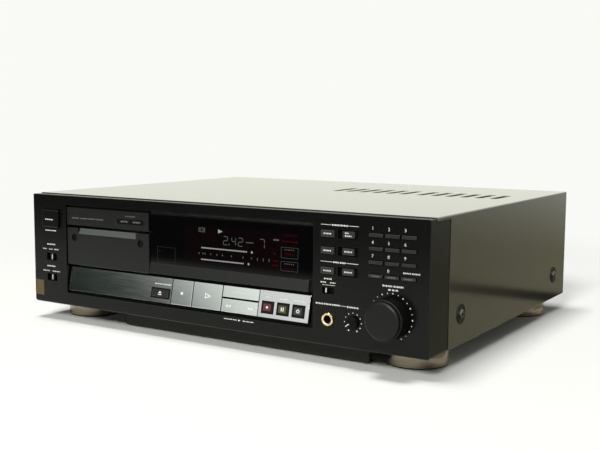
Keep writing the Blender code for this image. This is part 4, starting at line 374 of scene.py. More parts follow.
def make_finishes(colours):
    """Makes every finish of the deck, each named for the real material."""
    dull = {"Specular IOR Level": 0.2}
    # Moulded ABS with a fine spark texture: near black, and paler where it mirrors the floor
    add_grain(finish(BLACK_ABS, colours.fascia, 0.22, 0.0, {"Specular IOR Level": 0.18}),
              0.35 * MM, 0.0008 * MM)
    # Painted ABS: a little lighter than the moulded black, with a softer shine
    add_grain(finish(SATIN_ABS, colours.panels, 0.34, 0.0, {"Specular IOR Level": 0.3}),
              0.5 * MM, 0.002 * MM)
    # Baked paint on steel sheet: brown-black face on, and nearly a mirror at a flat angle
    add_grain(finish(COVER_PAINT, colours.cover, 0.2, 0.0,
                     {"Coat Weight": 1.0, "Coat Roughness": 0.07, "IOR": 1.5}),
              1.4 * MM, 0.0006 * MM)
    # The channel's thinner paint: a flat olive grey
    add_grain(finish(CHANNEL_PAINT, linear("#2B2A23"), 0.5, 0.0, dull), 1.0 * MM, 0.002 * MM)
    # The punched edges of the cooling slots: paler, thinly painted steel
    add_grain(finish(CUT_STEEL, linear("#9C9A86"), 0.6), 0.3 * MM, 0.002 * MM)
    # Brushed and anodised aluminium: fine lines along the strip draw its reflections out
    for name, base in ((STRIP_METAL, colours.strip), (BAR_METAL, colours.bars)):
        add_grain(finish(name, base, 0.14, 1.0), 0.3 * MM, 0.0, (80.0, 1.0, 1.0), (0.1, 0.17))
    # The notch's satin aluminium: a dim, blurred image of what lies ahead
    add_grain(finish(NOTCH_METAL, colours.notch, 0.42, 0.6), 0.6 * MM, 0.001 * MM, (40.0, 1.0, 1.0))
    # Polished smoked acrylic: a black mirror, with a wine tint over the display
    acrylic = finish(WINDOW_ACRYLIC, colours.window, 0.06, 0.0,
                     {"IOR": 1.49, "Specular IOR Level": 0.35})
    tint_window(acrylic, colours.window, colours.window_tint)
    # Satin ABS of the sill, lighter than the fascia
    add_grain(finish(SILL_ABS, linear("#171716"), 0.3), 0.5 * MM, 0.001 * MM)
    # Moulded keys: dark grey ABS, shinier than the fascia
    for name, base in ((KEY_ABS, colours.keys), (SMALL_KEY_ABS, colours.small_keys)):
        add_grain(finish(name, base, 0.3), 0.4 * MM, 0.001 * MM)
    # Knobs: a fine turned texture in front. Matte black for the black plastic parts, also used as
    # painted shade on the knobs' sides and in gaps and recesses
    add_grain(finish(KNOB_ABS, colours.knobs, 0.4, 0.0, dull), 0.4 * MM, 0.001 * MM)
    add_grain(finish(MATTE_BLACK_AND_SHADE, linear("#090A09"), 0.5, 0.0, {"Specular IOR Level": 0.12}),
              0.4 * MM, 0.002 * MM)
    # Small caps moulded in their own colours, with an even satin shine
    for name, base in ((EJECT_ABS, linear("#171A18")), (RECORD_ABS, colours.record),
                       (PAUSE_ABS, colours.pause), (MUTE_ABS, colours.mute)):
        finish(name, base, 0.35)
    # Screen ink: flat, with next to no shine
    finish(WHITE_INK, colours.ink, 0.7, 0.0, dull)
    finish(GREY_INK, linear("#6E706B"), 0.7, 0.0, dull)
    # Fluorescent segments behind the window
    glow(LIT_WHITE, colours.lit, 0.42)
    glow(LIT_DIM, colours.lit, 0.1)
    glow(LIT_RED, colours.lit_red, 0.2)
    # Turned and anodised aluminium: fine rings round the foot spread its highlights
    add_grain(finish(CHAMPAGNE, colours.feet, 0.26, 1.0), 0.12 * MM, 0.0, (400.0, 400.0, 1.0),
              (0.22, 0.32))
    # Moulded rubber: dull, with a coarse texture
    add_grain(finish(RUBBER, linear("#151515"), 0.8), 0.8 * MM, 0.02 * MM)
    # Gold over polished brass: warm, with a sharp image
    finish(GOLD, colours.gold, 0.16, 1.0)
    # Zinc plating: a dull grey mirror with a cloudy spangle
    add_grain(finish(ZINC, linear("#A9ACA8"), 0.4, 1.0), 6.0 * MM, 0.002 * MM, gloss=(0.3, 0.48))
    # Screws: black zinc that hardly shines, and nickel that does
    add_grain(finish(SCREW_BLACK, linear("#121211"), 0.45, 0.3), 0.5 * MM, 0.002 * MM)
    add_grain(finish(SCREW_BRIGHT, linear("#77766E"), 0.3, 1.0), 0.5 * MM, 0.002 * MM)
    # Metallised foil: warm grey and slightly crinkled
    add_grain(finish(FOIL, linear("#6E6145"), 0.4, 1.0), 2.0 * MM, 0.03 * MM)
    # Green solder mask over glass cloth, whose weave shows through
    add_grain(finish(BOARD, linear("#1F4A2C"), 0.35), 0.8 * MM, 0.008 * MM,
              shades=(linear("#1A4026"), linear("#2A5A38")))
    # Acetal: white and a little waxy
    finish(ACETAL, linear("#E4E2D8"), 0.35, 0.0, {"Subsurface Weight": 0.1})
    # Stacked laminations: their edges draw level lines round the core
    add_grain(finish(CORE, linear("#6E6A62"), 0.45, 0.8), 0.5 * MM, 0.08 * MM, (40.0, 1.0, 40.0))
    # The drum's diamond-turned aluminium: a bright mirror with the finest rings
    add_grain(finish(DRUM, linear("#D5D7D6"), 0.14, 1.0), 0.3 * MM, 0.001 * MM, (30.0, 30.0, 1.0))
    finish(TUBE_GLASS, linear("#0C1312"), 0.05, 0.0, {"IOR": 1.52})
    for name, base in ((RED_PLASTIC, "#8C1B1B"), (WHITE_PLASTIC, "#D8D8D2")):
        finish(name, linear(base), 0.4)


# Shapes


def new_object(name, data):
    """Puts a mesh, curve, lamp or camera into the scene."""
    piece = bpy.data.objects.new(name, data)
    bpy.context.scene.collection.objects.link(piece)
    return piece


def new_piece(shape, name, finish_name, merge=True):
    """Turns a bmesh into an object with one finish, its faces pointing out."""
    if merge:
        bmesh.ops.remove_doubles(shape, verts=shape.verts, dist=WELD)
    bmesh.ops.recalc_face_normals(shape, faces=shape.faces)
    mesh = bpy.data.meshes.new(name)
    shape.to_mesh(mesh)
    shape.free()
    mesh.materials.append(bpy.data.materials[finish_name])
    return new_object(name, mesh)


def settle(piece):
    """Turns a piece and its modifiers into one plain mesh."""
    graph = bpy.context.evaluated_depsgraph_get()
    mesh = bpy.data.meshes.new_from_object(piece.evaluated_get(graph), depsgraph=graph)
    old = piece.data
    piece.modifiers.clear()
    piece.data = mesh
    mesh.name = piece.name
    bpy.data.meshes.remove(old)
    return piece


def smooth(piece):
    """Shades a piece smooth, except across its sharp edges."""
    piece.data.shade_smooth()
    piece.data.set_sharp_from_angle(angle=SHARP_ANGLE)
    return piece


def flatten(piece):
    """Gives each wide face its own direction at all of its corners."""
    mesh = piece.data
    directions = [corner.vector.copy() for corner in mesh.corner_normals]
    for face in mesh.polygons:
        if face.area > WIDE_FACE * WIDE_FACE:
            for corner in face.loop_indices:
                directions[corner] = face.normal
    mesh.normals_split_custom_set(directions)
    return piece


def round_edges(piece, width, segments=2):
    """Rounds a piece's sharp edges, and keeps its flat faces flat to the eye."""
    piece.data.shade_smooth()
    bevel = piece.modifiers.new("rounding", "BEVEL")
    bevel.width = width
    bevel.segments = segments
    bevel.limit_method = "ANGLE"
    bevel.angle_limit = BEVEL_ANGLE
    bevel.harden_normals = True
    return flatten(settle(piece))


def mount(piece, body, stands_for=()):
    """Lets a finished piece ride its body and stand for CAD nodes."""
    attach(piece, body)
    if stands_for:
        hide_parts(*stands_for)
    return piece


def body_of(node):
    """The body that carries a CAD node."""
    return frame["nodes"][node]["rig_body"]


def copy_of(node, name, finish_name):
    """A clean copy of a CAD node: its triangles are joined into whole faces."""
    shape = bmesh.new()
    shape.from_mesh(frame["nodes"][node].data)
    bmesh.ops.remove_doubles(shape, verts=shape.verts, dist=WELD)
    bmesh.ops.dissolve_limit(shape, angle_limit=FLAT_ANGLE, verts=shape.verts[:],
                             edges=shape.edges[:])
    return new_piece(shape, name, finish_name, merge=False)


def softened(node, name, finish_name, width=None):
    """A copy of a CAD node with rounded edges, which stands for it."""
    piece = copy_of(node, name, finish_name)
    round_edges(piece, width or bpy.context.scene.deck_sizes.edge_round)
    return mount(piece, body_of(node), [node])


def paint(piece, finish_name, chosen):
    """Gives a second finish to the faces whose centre passes a test."""
    piece.data.materials.append(bpy.data.materials[finish_name])
    slot = len(piece.data.materials) - 1
    for face in piece.data.polygons:
        if chosen(face.center):
            face.material_index = slot


def add_loft(shape, rings):
    """Adds a closed solid through rings of the same number of points."""
    loops = [[shape.verts.new(point) for point in ring] for ring in rings]
    count = len(loops[0])
    for first, second in zip(loops, loops[1:]):
        for index in range(count):
            following = (index + 1) % count
            shape.faces.new((first[index], first[following], second[following], second[index]))
    shape.faces.new(loops[0])
    shape.faces.new(reversed(loops[-1]))


def add_box(shape, low, high):
    """Adds a box between two corners."""
    rings = []
    for z in (low[2], high[2]):
        rings.append([(low[0], low[1], z), (high[0], low[1], z),
                      (high[0], high[1], z), (low[0], high[1], z)])
    add_loft(shape, rings)


def add_turned(shape, profile, centre, axis, facets):
    """Spins a profile of (distance out, radius) points, in millimetres, round an axis."""
    axis = Vector(axis).normalized()
    across = axis.orthogonal().normalized()
    third = axis.cross(across)
    rings = []
    for out, radius in profile:
        middle = Vector(centre) + axis * out * MM
        if radius == 0.0:
            rings.append([shape.verts.new(middle)])
            continue
        ring = []
        for step in range(facets):
            angle = math.tau * step / facets
            arm = across * math.cos(angle) + third * math.sin(angle)
            ring.append(shape.verts.new(middle + arm * radius * MM))
        rings.append(ring)
    for first, second in zip(rings, rings[1:]):
        for index in range(facets):
            following = (index + 1) % facets
            if len(first) == 1:
                shape.faces.new((first[0], second[following], second[index]))
            elif len(second) == 1:
                shape.faces.new((first[index], first[following], second[0]))
            else:
                shape.faces.new((first[index], first[following],
                                 second[following], second[index]))


def turned(name, profile, finish_name, facets, centre=ORIGIN, axis=UP):
    """A turned piece: unless told otherwise a template that stands on the origin."""
    shape = bmesh.new()
    add_turned(shape, profile, centre, axis, facets)
    return new_piece(shape, name, finish_name)


def section_across(name, section, finish_name, x_low, x_high):
    """A piece of one section, drawn in y and z on the front, between two frame x."""
    shape = bmesh.new()
    add_loft(shape, [[(x, *spot(0.0, y, z)[1:]) for y, z in section] for x in (x_low, x_high)])
    return new_piece(shape, name, finish_name)


def boxes(name, corners, finish_name):
    """A piece of plain boxes, each between its two corners."""
    shape = bmesh.new()
    for low, high in corners:
        add_box(shape, low, high)
    return new_piece(shape, name, finish_name)


def cut_out(piece, *tools):
    """Cuts other pieces out of a piece, and deletes them."""
    for tool in tools:
        cut = piece.modifiers.new(tool.name, "BOOLEAN")
        cut.operation = "DIFFERENCE"
        cut.solver = "EXACT"
        cut.object = tool
    settle(piece)
    for tool in tools:
        discard(tool)
    return piece


def stamp(shape, outline, surface, lift, sink=0.1):
    """Adds a thin raised shape, such as printing, on one of the front's surfaces.

    The outline's points, the lift and the sink are in millimetres on that surface.
    """
    add_loft(shape, [[surface(x, z, -sink) for x, z in outline],
                     [surface(x, z, lift) for x, z in outline]])


def bar(x_low, x_high, z, height):
    """A level bar's outline, at a height above the chassis."""
    return [(x_low, z - height / 2), (x_high, z - height / 2),
            (x_high, z + height / 2), (x_low, z + height / 2)]


def disc(x, z, radius, points=14):
    """A dot's outline."""
    return [(x + radius * math.cos(math.tau * step / points),
             z + radius * math.sin(math.tau * step / points)) for step in range(points)]


def pointer(x, z, width, height):
    """A triangle that points to the deck's right, or to its left with a negative width."""
    return [(x - width / 2, z - height / 2), (x + width / 2, z), (x - width / 2, z + height / 2)]


def dashes(x_low, x_high, z, height, parts):
    """A legend drawn as short plain strokes, in so many groups."""
    space = 1.1
    gap = 0.5
    usual_pitch = 1.4
    heights = (0.8 * height, 0.55 * height)
    each = (x_high - x_low + space) / parts
    strokes = []
    for part in range(parts):
        start = x_low + each * part
        count = max(1, round((each - space) / usual_pitch))
        pitch = (each - space + gap) / count
        for index in range(count):
            left = start + pitch * index
            strokes.append(bar(left, left + pitch - gap, z, heights[index % 2]))
    return strokes


def frame_bars(x_low, x_high, z_low, z_high, width):
    """The four bars of an outlined box."""
    half = width / 2
    middle = (z_low + z_high) / 2
    inside = z_high - z_low - 2 * width
    return [bar(x_low, x_high, z_low + half, width), bar(x_low, x_high, z_high - half, width),
            bar(x_low, x_low + width, middle, inside), bar(x_high - width, x_high, middle, inside)]


def band(outer, inner):
    """The band between two closed lines of as many points, in four-sided parts."""
    parts = []
    for index in range(len(outer)):
        following = (index + 1) % len(outer)
        parts.append([outer[index], outer[following], inner[following], inner[index]])
    return parts


def add_figure(shape, text, x, z, height, surface, lift, sink=0.05):
    """Adds a plain figure in Blender's own typeface, raised on a surface."""
    figure_share = 0.72
    curve = bpy.data.curves.new("figure", "FONT")
    curve.body = text
    curve.size = height / figure_share
    curve.align_x = "CENTER"
    curve.align_y = "CENTER"
    curve.resolution_u = 3
    curve.extrude = 0.5
    holder = new_object("figure", curve)
    graph = bpy.context.evaluated_depsgraph_get()
    mesh = bpy.data.meshes.new_from_object(holder.evaluated_get(graph), depsgraph=graph)
    for vert in mesh.vertices:
        out = lift if vert.co.z > 0 else -sink
        vert.co = surface(x + vert.co.x, z + vert.co.y, out)
    shape.from_mesh(mesh)
    bpy.data.objects.remove(holder)
    bpy.data.curves.remove(curve)
    bpy.data.meshes.remove(mesh)


SEGMENTS_OF = {"2": "abged", "4": "fgbc", "7": "abc"}


def segments(figure, x, z, width, height):
    """A seven-segment figure's bars, from its lower left corner at x and z."""
    stroke = 0.7
    gap = 0.25
    half = height / 2
    level = {"a": z + height - stroke / 2, "g": z + half, "d": z + stroke / 2}
    bars = []
    for name in SEGMENTS_OF[figure]:
        if name in level:
            bars.append(bar(x + stroke, x + width - stroke, level[name], stroke))
        else:
            middle = z + (0.75 if name in "bf" else 0.25) * height
            start = x if name in "ef" else x + width - stroke
            bars.append(bar(start, start + stroke, middle, half - stroke - 2 * gap))
    return bars


def new_print(name, outlines, surface, finish_name, body, lift=None):
    """Prints a set of outlines as one thin raised piece on a body, in millimetres."""
    lift = lift or bpy.context.scene.deck_sizes.print_lift / MM
    shape = bmesh.new()
    for outline in outlines:
        stamp(shape, outline, surface, lift)
    return mount(new_piece(shape, name, finish_name, merge=False), body)


# Geometry Nodes


def new_tree(name, inputs):
    """Starts a Geometry Nodes tree with named inputs of (label, socket, default)."""
    tree = bpy.data.node_groups.new(name, "GeometryNodeTree")
    tree.interface.new_socket("Geometry", in_out="INPUT", socket_type="NodeSocketGeometry")
    for label, kind, default in inputs:
        socket = tree.interface.new_socket(label, in_out="INPUT", socket_type=kind)
        if default is not None:
            socket.default_value = default
    tree.interface.new_socket("Geometry", in_out="OUTPUT", socket_type="NodeSocketGeometry")
    return tree, add_node(tree, "NodeGroupInput").outputs


def close_tree(tree, geometry, material):
    """Ends a tree in real geometry with its finish set."""
    real = add_node(tree, "GeometryNodeRealizeInstances", {"Geometry": geometry})
    painted = add_node(tree, "GeometryNodeSetMaterial",
                       {"Geometry": real.outputs[0], "Material": material})
    add_node(tree, "NodeGroupOutput", {"Geometry": painted.outputs[0]})
    return tree


def grow(piece, tree, inputs):
    """Runs a tree on a piece with the given inputs and keeps the result as its mesh."""
    modifier = piece.modifiers.new(tree.name, "NODES")
    modifier.node_group = tree
    left = dict(inputs)
    for item in tree.interface.items_tree:
        if item.item_type == "SOCKET" and item.in_out == "INPUT" and item.name in left:
            modifier[item.identifier] = left.pop(item.name)
    if left:
        raise ValueError(f"{tree.name} has no input named {sorted(left)}")
    return settle(piece)


def scatter_tree():
    """Sets a copy of one piece on each point, facing the point's own direction."""
    tree, given = new_tree("scatter on points", (
        ("Template", "NodeSocketObject", None), ("Most turn", "NodeSocketFloat", 0.0),
        ("Seed", "NodeSocketInt", 3), ("Finish", "NodeSocketMaterial", None)))
    facing = add_node(tree, "GeometryNodeInputNamedAttribute", {"Name": "facing"},
                      data_type="FLOAT_VECTOR")
    scale = add_node(tree, "GeometryNodeInputNamedAttribute", {"Name": "size"}, data_type="FLOAT")
    turn = add_node(tree, "FunctionNodeRandomValue",
                    {2: 0.0, 3: given["Most turn"], "Seed": given["Seed"]}, data_type="FLOAT")
    spin = add_node(tree, "FunctionNodeAxisAngleToRotation",
                    {"Axis": (0.0, 0.0, 1.0), "Angle": turn.outputs[1]})
    aimed = add_node(tree, "FunctionNodeAlignRotationToVector", {"Vector": facing.outputs[0]},
                     axis="Z")
    whole = add_node(tree, "FunctionNodeRotateRotation",
                     {"Rotation": aimed.outputs[0], "Rotate By": spin.outputs[0]},
                     rotation_space="LOCAL")
    template = add_node(tree, "GeometryNodeObjectInfo", {"Object": given["Template"]})
    copies = add_node(tree, "GeometryNodeInstanceOnPoints",
                      {"Points": given["Geometry"], "Instance": template.outputs["Geometry"],
                       "Rotation": whole.outputs[0], "Scale": scale.outputs[0]})
    return close_tree(tree, copies.outputs[0], given["Finish"])


def slot_tree():
    """Punches a row of slots with round ends through a sheet."""
    tree, given = new_tree("row of punched slots", (
        ("First slot", "NodeSocketVector", None), ("Slot length", "NodeSocketFloat", 0.045),
        ("Slot width", "NodeSocketFloat", 0.005), ("Pitch", "NodeSocketFloat", 0.015),
        ("Slots", "NodeSocketInt", 6), ("Depth", "NodeSocketFloat", 0.006),
        ("Finish", "NodeSocketMaterial", None)))
    outline = add_node(tree, "GeometryNodeCurvePrimitiveQuadrilateral",
                       {"Width": given["Slot width"], "Height": given["Slot length"]})
    nearly_half = 0.498
    corner = add_node(tree, "ShaderNodeMath", {0: given["Slot width"], 1: nearly_half},
                      operation="MULTIPLY")
    rounded = add_node(tree, "GeometryNodeFilletCurve",
                       {"Curve": outline.outputs[0], "Count": 6, "Radius": corner.outputs[0]},
                       mode="POLY")
    flat = add_node(tree, "GeometryNodeFillCurve", {"Curve": rounded.outputs[0]}, mode="NGONS")
    half = add_node(tree, "ShaderNodeMath", {0: given["Depth"], 1: -0.5}, operation="MULTIPLY")
    down = add_node(tree, "ShaderNodeCombineXYZ", {"Z": half.outputs[0]})
    floor = add_node(tree, "GeometryNodeTransform",
                     {"Geometry": flat.outputs[0], "Translation": down.outputs[0]})
    raised = add_node(tree, "GeometryNodeExtrudeMesh",
                      {"Mesh": floor.outputs[0], "Offset": (0.0, 0.0, 1.0),
                       "Offset Scale": given["Depth"], "Individual": False})
    under = add_node(tree, "GeometryNodeFlipFaces", {"Mesh": floor.outputs[0]})
    joined = add_node(tree, "GeometryNodeJoinGeometry", {"Geometry": raised.outputs[0]})
    feed(tree, joined, {"Geometry": under.outputs[0]})
    punch = add_node(tree, "GeometryNodeMergeByDistance", {"Geometry": joined.outputs[0],
                                                           "Distance": WELD})
    step = add_node(tree, "ShaderNodeCombineXYZ", {"X": given["Pitch"]})
    row = add_node(tree, "GeometryNodeMeshLine",
                   {"Count": given["Slots"], "Start Location": given["First slot"],
                    "Offset": step.outputs[0]}, mode="OFFSET")
    punches = add_node(tree, "GeometryNodeInstanceOnPoints",
                       {"Points": row.outputs[0], "Instance": punch.outputs[0]})
    real = add_node(tree, "GeometryNodeRealizeInstances", {"Geometry": punches.outputs[0]})
    cut = add_node(tree, "GeometryNodeMeshBoolean",
                   {"Mesh 1": given["Geometry"], "Mesh 2": real.outputs[0]},
                   operation="DIFFERENCE", solver="EXACT")
    return close_tree(tree, cut.outputs[0], given["Finish"])


def knurl_tree():
    """Sets grip ribs round a knob that faces the front."""
    tree, given = new_tree("grip ribs round a knob", (
        ("Place", "NodeSocketVector", None), ("Radius", "NodeSocketFloat", 0.015),
        ("Ribs", "NodeSocketInt", 90), ("Rib length", "NodeSocketFloat", 0.006),
        ("Rib width", "NodeSocketFloat", 0.0005), ("Rib height", "NodeSocketFloat", 0.0002),
        ("Finish", "NodeSocketMaterial", None)))
    ring = add_node(tree, "GeometryNodeMeshCircle",
                    {"Vertices": given["Ribs"], "Radius": given["Radius"]})
    stood = add_node(tree, "GeometryNodeTransform", {"Geometry": ring.outputs[0],
                                                     "Rotation": (math.pi / 2, 0.0, 0.0)})
    position = add_node(tree, "GeometryNodeInputPosition")
    aimed = add_node(tree, "FunctionNodeAlignRotationToVector", {"Vector": position.outputs[0]},
                     axis="X")
    depth = add_node(tree, "ShaderNodeMath", {0: given["Rib height"], 1: 2.0},
                     operation="MULTIPLY")
    block = add_node(tree, "ShaderNodeCombineXYZ",
                     {"X": depth.outputs[0], "Y": given["Rib length"], "Z": given["Rib width"]})
    rib = add_node(tree, "GeometryNodeMeshCube", {"Size": block.outputs[0]})
    ribs = add_node(tree, "GeometryNodeInstanceOnPoints",
                    {"Points": stood.outputs[0], "Instance": rib.outputs[0],
                     "Rotation": aimed.outputs[0]})
    placed = add_node(tree, "GeometryNodeTransform",
                      {"Geometry": ribs.outputs[0], "Translation": given["Place"]})
    joined = add_node(tree, "GeometryNodeJoinGeometry", {"Geometry": placed.outputs[0]})
    feed(tree, joined, {"Geometry": given["Geometry"]})
    return close_tree(tree, joined.outputs[0], given["Finish"])


def meter_tree():
    """Lays lit blocks side by side, as in a level meter."""
    tree, given = new_tree("row of meter blocks", (
        ("Start", "NodeSocketVector", None), ("Blocks", "NodeSocketInt", 20),
        ("Pitch", "NodeSocketFloat", 0.002), ("Block", "NodeSocketVector", None),
        ("Finish", "NodeSocketMaterial", None)))
    step = add_node(tree, "ShaderNodeCombineXYZ", {"X": given["Pitch"]})
    row = add_node(tree, "GeometryNodeMeshLine",
                   {"Count": given["Blocks"], "Start Location": given["Start"],
                    "Offset": step.outputs[0]}, mode="OFFSET")
    block = add_node(tree, "GeometryNodeMeshCube", {"Size": given["Block"]})
    blocks = add_node(tree, "GeometryNodeInstanceOnPoints",
                      {"Points": row.outputs[0], "Instance": block.outputs[0]})
    joined = add_node(tree, "GeometryNodeJoinGeometry", {"Geometry": blocks.outputs[0]})
    feed(tree, joined, {"Geometry": given["Geometry"]})
    return close_tree(tree, joined.outputs[0], given["Finish"])


TREE_MAKERS = {"scatter on points": scatter_tree, "row of punched slots": slot_tree,
               "grip ribs round a knob": knurl_tree, "row of meter blocks": meter_tree}


def tree_named(name):
    """A tree by its name, made when it is first asked for."""
    return bpy.data.node_groups.get(name) or TREE_MAKERS[name]()


def scatter(name, template, places, facing, finish_name, sizes=None, most_turn=0.0):
    """Sets copies of a template, drawn facing up, at places, and deletes the template.

    facing is one direction for all of them, or a list with one for each place.
    """
    mesh = bpy.data.meshes.new(name)
    mesh.from_pydata([tuple(place) for place in places], [], [])
    mesh.attributes.new("facing", "FLOAT_VECTOR", "POINT")
    mesh.attributes.new("size", "FLOAT", "POINT")
    for index in range(len(places)):
        way = facing[index] if isinstance(facing, list) else facing
        mesh.attributes["facing"].data[index].vector = way
        mesh.attributes["size"].data[index].value = sizes[index] if sizes else 1.0
    mesh.materials.append(bpy.data.materials[finish_name])
    piece = new_object(name, mesh)
    grow(piece, tree_named("scatter on points"),
         {"Template": template, "Most turn": most_turn,
          "Finish": bpy.data.materials[finish_name]})
    smooth(piece)
    for attribute in ("facing", "size"):
        if attribute in piece.data.attributes:
            piece.data.attributes.remove(piece.data.attributes[attribute])
    discard(template)
    return piece


def discard(template):
    """Deletes a piece that only served to make another."""
    mesh = template.data
    bpy.data.objects.remove(template)
    bpy.data.meshes.remove(mesh)


# Cabinet


def make_fascia():
    """The moulded front, with the blank foil patch low on its left."""
    moulding = softened("fascia", "fascia_moulding", BLACK_ABS)
    cheek_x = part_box("fascia")[1].x - 0.6 * MM
    paint(moulding, SATIN_ABS, lambda place: abs(place.x) > cheek_x)
    patch = bar(-213.2, -202.6, 12.4, 15.0)
    new_print("foil_patch", [patch], upright(0.0), FOIL, "housing", 0.06)


def cover_section():
    """The bonnet's section: an upside-down U of sheet with finely rounded bends."""
    low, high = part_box("top_cover")
    sheet = 1.0 * MM
    bend = 1.3 * MM
    steps = 10

    def side(inset, radius):
        points = [(high.x - inset, low.z)]
        for step in range(steps + 1):
            angle = math.pi / 2 * step / steps
            points.append((high.x - inset - radius + radius * math.cos(angle),
                           high.z - inset - radius + radius * math.sin(angle)))
        return points

    outer = side(0.0, bend)
    inner = side(sheet, bend - sheet)
    outer += [(-x, z) for x, z in reversed(outer)]
    inner += [(-x, z) for x, z in reversed(inner)]
    return outer + inner[::-1]


def slot_row():
    """Where the band of cooling slots starts and ends, front to back, in the frame."""
    half = 24.5
    return spot(0.0, SLOTS_MIDDLE - half, 0.0).y, spot(0.0, SLOTS_MIDDLE + half, 0.0).y


def make_cover(sizes):
    """The bonnet of bent sheet, cut back round the fascia's cheeks and punched."""
    low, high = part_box("top_cover")
    shape = bmesh.new()
    section = cover_section()
    add_loft(shape, [[(x, y, z) for x, z in section] for y in (low.y, high.y)])
    cover = new_piece(shape, "cover_bonnet", COVER_PAINT, merge=False)
    past = 1.0 * MM
    cheeks = []
    for side in (-1, 1):
        near, far = sorted((side * (high.x - 1.3 * MM), side * (high.x + past)))
        cheeks.append(((near, low.y - past, low.z - past),
                       (far, spot(0.0, CHEEK_BACK, 0.0).y, spot(0.0, 0.0, CHEEK_TOP).z)))
    cut_out(cover, boxes("cheek_cuts", cheeks, COVER_PAINT))
    for first_x in (13.5, 109.0):
        grow(cover, tree_named("row of punched slots"),
             {"First slot": spot(first_x, SLOTS_MIDDLE, 106.0), "Slot length": sizes.slot_length,
              "Slot width": sizes.slot_width, "Pitch": sizes.slot_pitch,
              "Slots": sizes.slots_in_group, "Finish": bpy.data.materials[COVER_PAINT]})
    round_edges(cover, 0.18 * MM)
    inside_x = high.x - 10.0 * MM
    edge_top = high.z - 0.2 * MM
    edge_bottom = edge_top - 0.7 * MM
    row_low, row_high = slot_row()

    def slot_edge(place):
        return (abs(place.x) < inside_x and row_low < place.y < row_high
                and edge_bottom < place.z < edge_top)

    paint(cover, CUT_STEEL, slot_edge)
    mount(cover, "housing", ["top_cover"])


def make_cover_linings():
    """What shows through the bonnet's gaps: dark boxes behind the cheeks as painted shade, and the
    slots' baffle.
    """
    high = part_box("top_cover")[1]
    play = 0.05 * MM
    # Dark boxes in the gaps behind the cheeks: painted shade where the gaps fall dark
    gap_shades = []
    for side in (-1, 1):
        near, far = sorted((side * (high.x - 1.8 * MM), side * (high.x - 0.6 * MM)))
        gap_shades.append(((near, spot(0.0, 34.75, 0.0).y, spot(0.0, 0.0, 3.0).z),
                      (far, spot(0.0, CHEEK_BACK, 0.0).y - play,
                       spot(0.0, 0.0, CHEEK_TOP).z - play)))
    mount(boxes("cheek_seals", gap_shades, MATTE_BLACK_AND_SHADE), "housing")
    row_low, row_high = slot_row()
    top = high.z - 2.2 * MM
    baffle = ((spot(8.0, 0.0, 0.0).x, row_low, top - 0.8 * MM),
              (spot(192.0, 0.0, 0.0).x, row_high, top))
    mount(boxes("vent_baffle", [baffle], CUT_STEEL), "housing")


def make_cabinet():
    """Chassis pan, rear panel and the channel under the front."""
    softened("chassis_pan", "chassis_sheet", ZINC, 0.12 * MM)
    softened("rear_panel", "rear_sheet", COVER_PAINT, 0.15 * MM)
    softened("under_brace", "front_channel", CHANNEL_PAINT)


def make_feet():
    """Turned cups of anodised aluminium on rubber pads."""
    cup = ((1.2, 0.0), (1.2, 25.7), (1.3, 25.9), (1.5, 26.0), (13.3, 26.0), (13.5, 25.85),
           (13.6, 25.4), (13.7, 25.3), (14.6, 25.3), (14.7, 25.4), (14.8, 25.85), (15.0, 26.0),
           (17.8, 26.0), (18.0, 25.9), (18.1, 25.7), (18.1, 0.0))
    pad = ((0.0, 0.0), (0.0, 16.0), (0.5, 16.0), (0.5, 17.6), (0.0, 17.6), (0.0, 24.7),
           (0.15, 25.0), (0.4, 25.1), (1.25, 25.1), (1.25, 0.0))
    names = [f"foot_{end}_{side}" for end in ("front", "rear") for side in ("left", "right")]
    places = []
    for name in names:
        low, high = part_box(name)
        places.append(((low.x + high.x) / 2, (low.y + high.y) / 2, 0.0))
    for label, profile, finish_name, stands_for, slot in (
            ("feet_cups", cup, CHAMPAGNE, names, "champagne"),
            ("feet_pads", pad, RUBBER, (), "black_plastic")):
        template = turned("foot_template", profile, finish_name, 96)
        mount(scatter(label, template, places, UP, finish_name), "housing", stands_for)


def screw_template(radius, height):
    """A pan-head screw with a cross recess, drawn facing up. Sizes are in metres."""
    reach = radius / MM
    tall = height / MM
    profile = ((-0.6, 0.0), (-0.6, reach), (tall * 0.45, reach), (tall * 0.8, reach * 0.86),
               (tall * 0.97, reach * 0.6), (tall, reach * 0.3), (tall, 0.0))
    screw = turned("screw_template", profile, SCREW_BLACK, 28)
    arm = radius * 0.56
    half = radius * 0.11
    bottom = height * 0.35
    top = height + 0.5 * MM
    tools = [boxes("recess_tool", [((-along, -across, bottom), (along, across, top))], SCREW_BLACK)
             for along, across in ((arm, half), (half, arm))]
    return cut_out(screw, *tools)


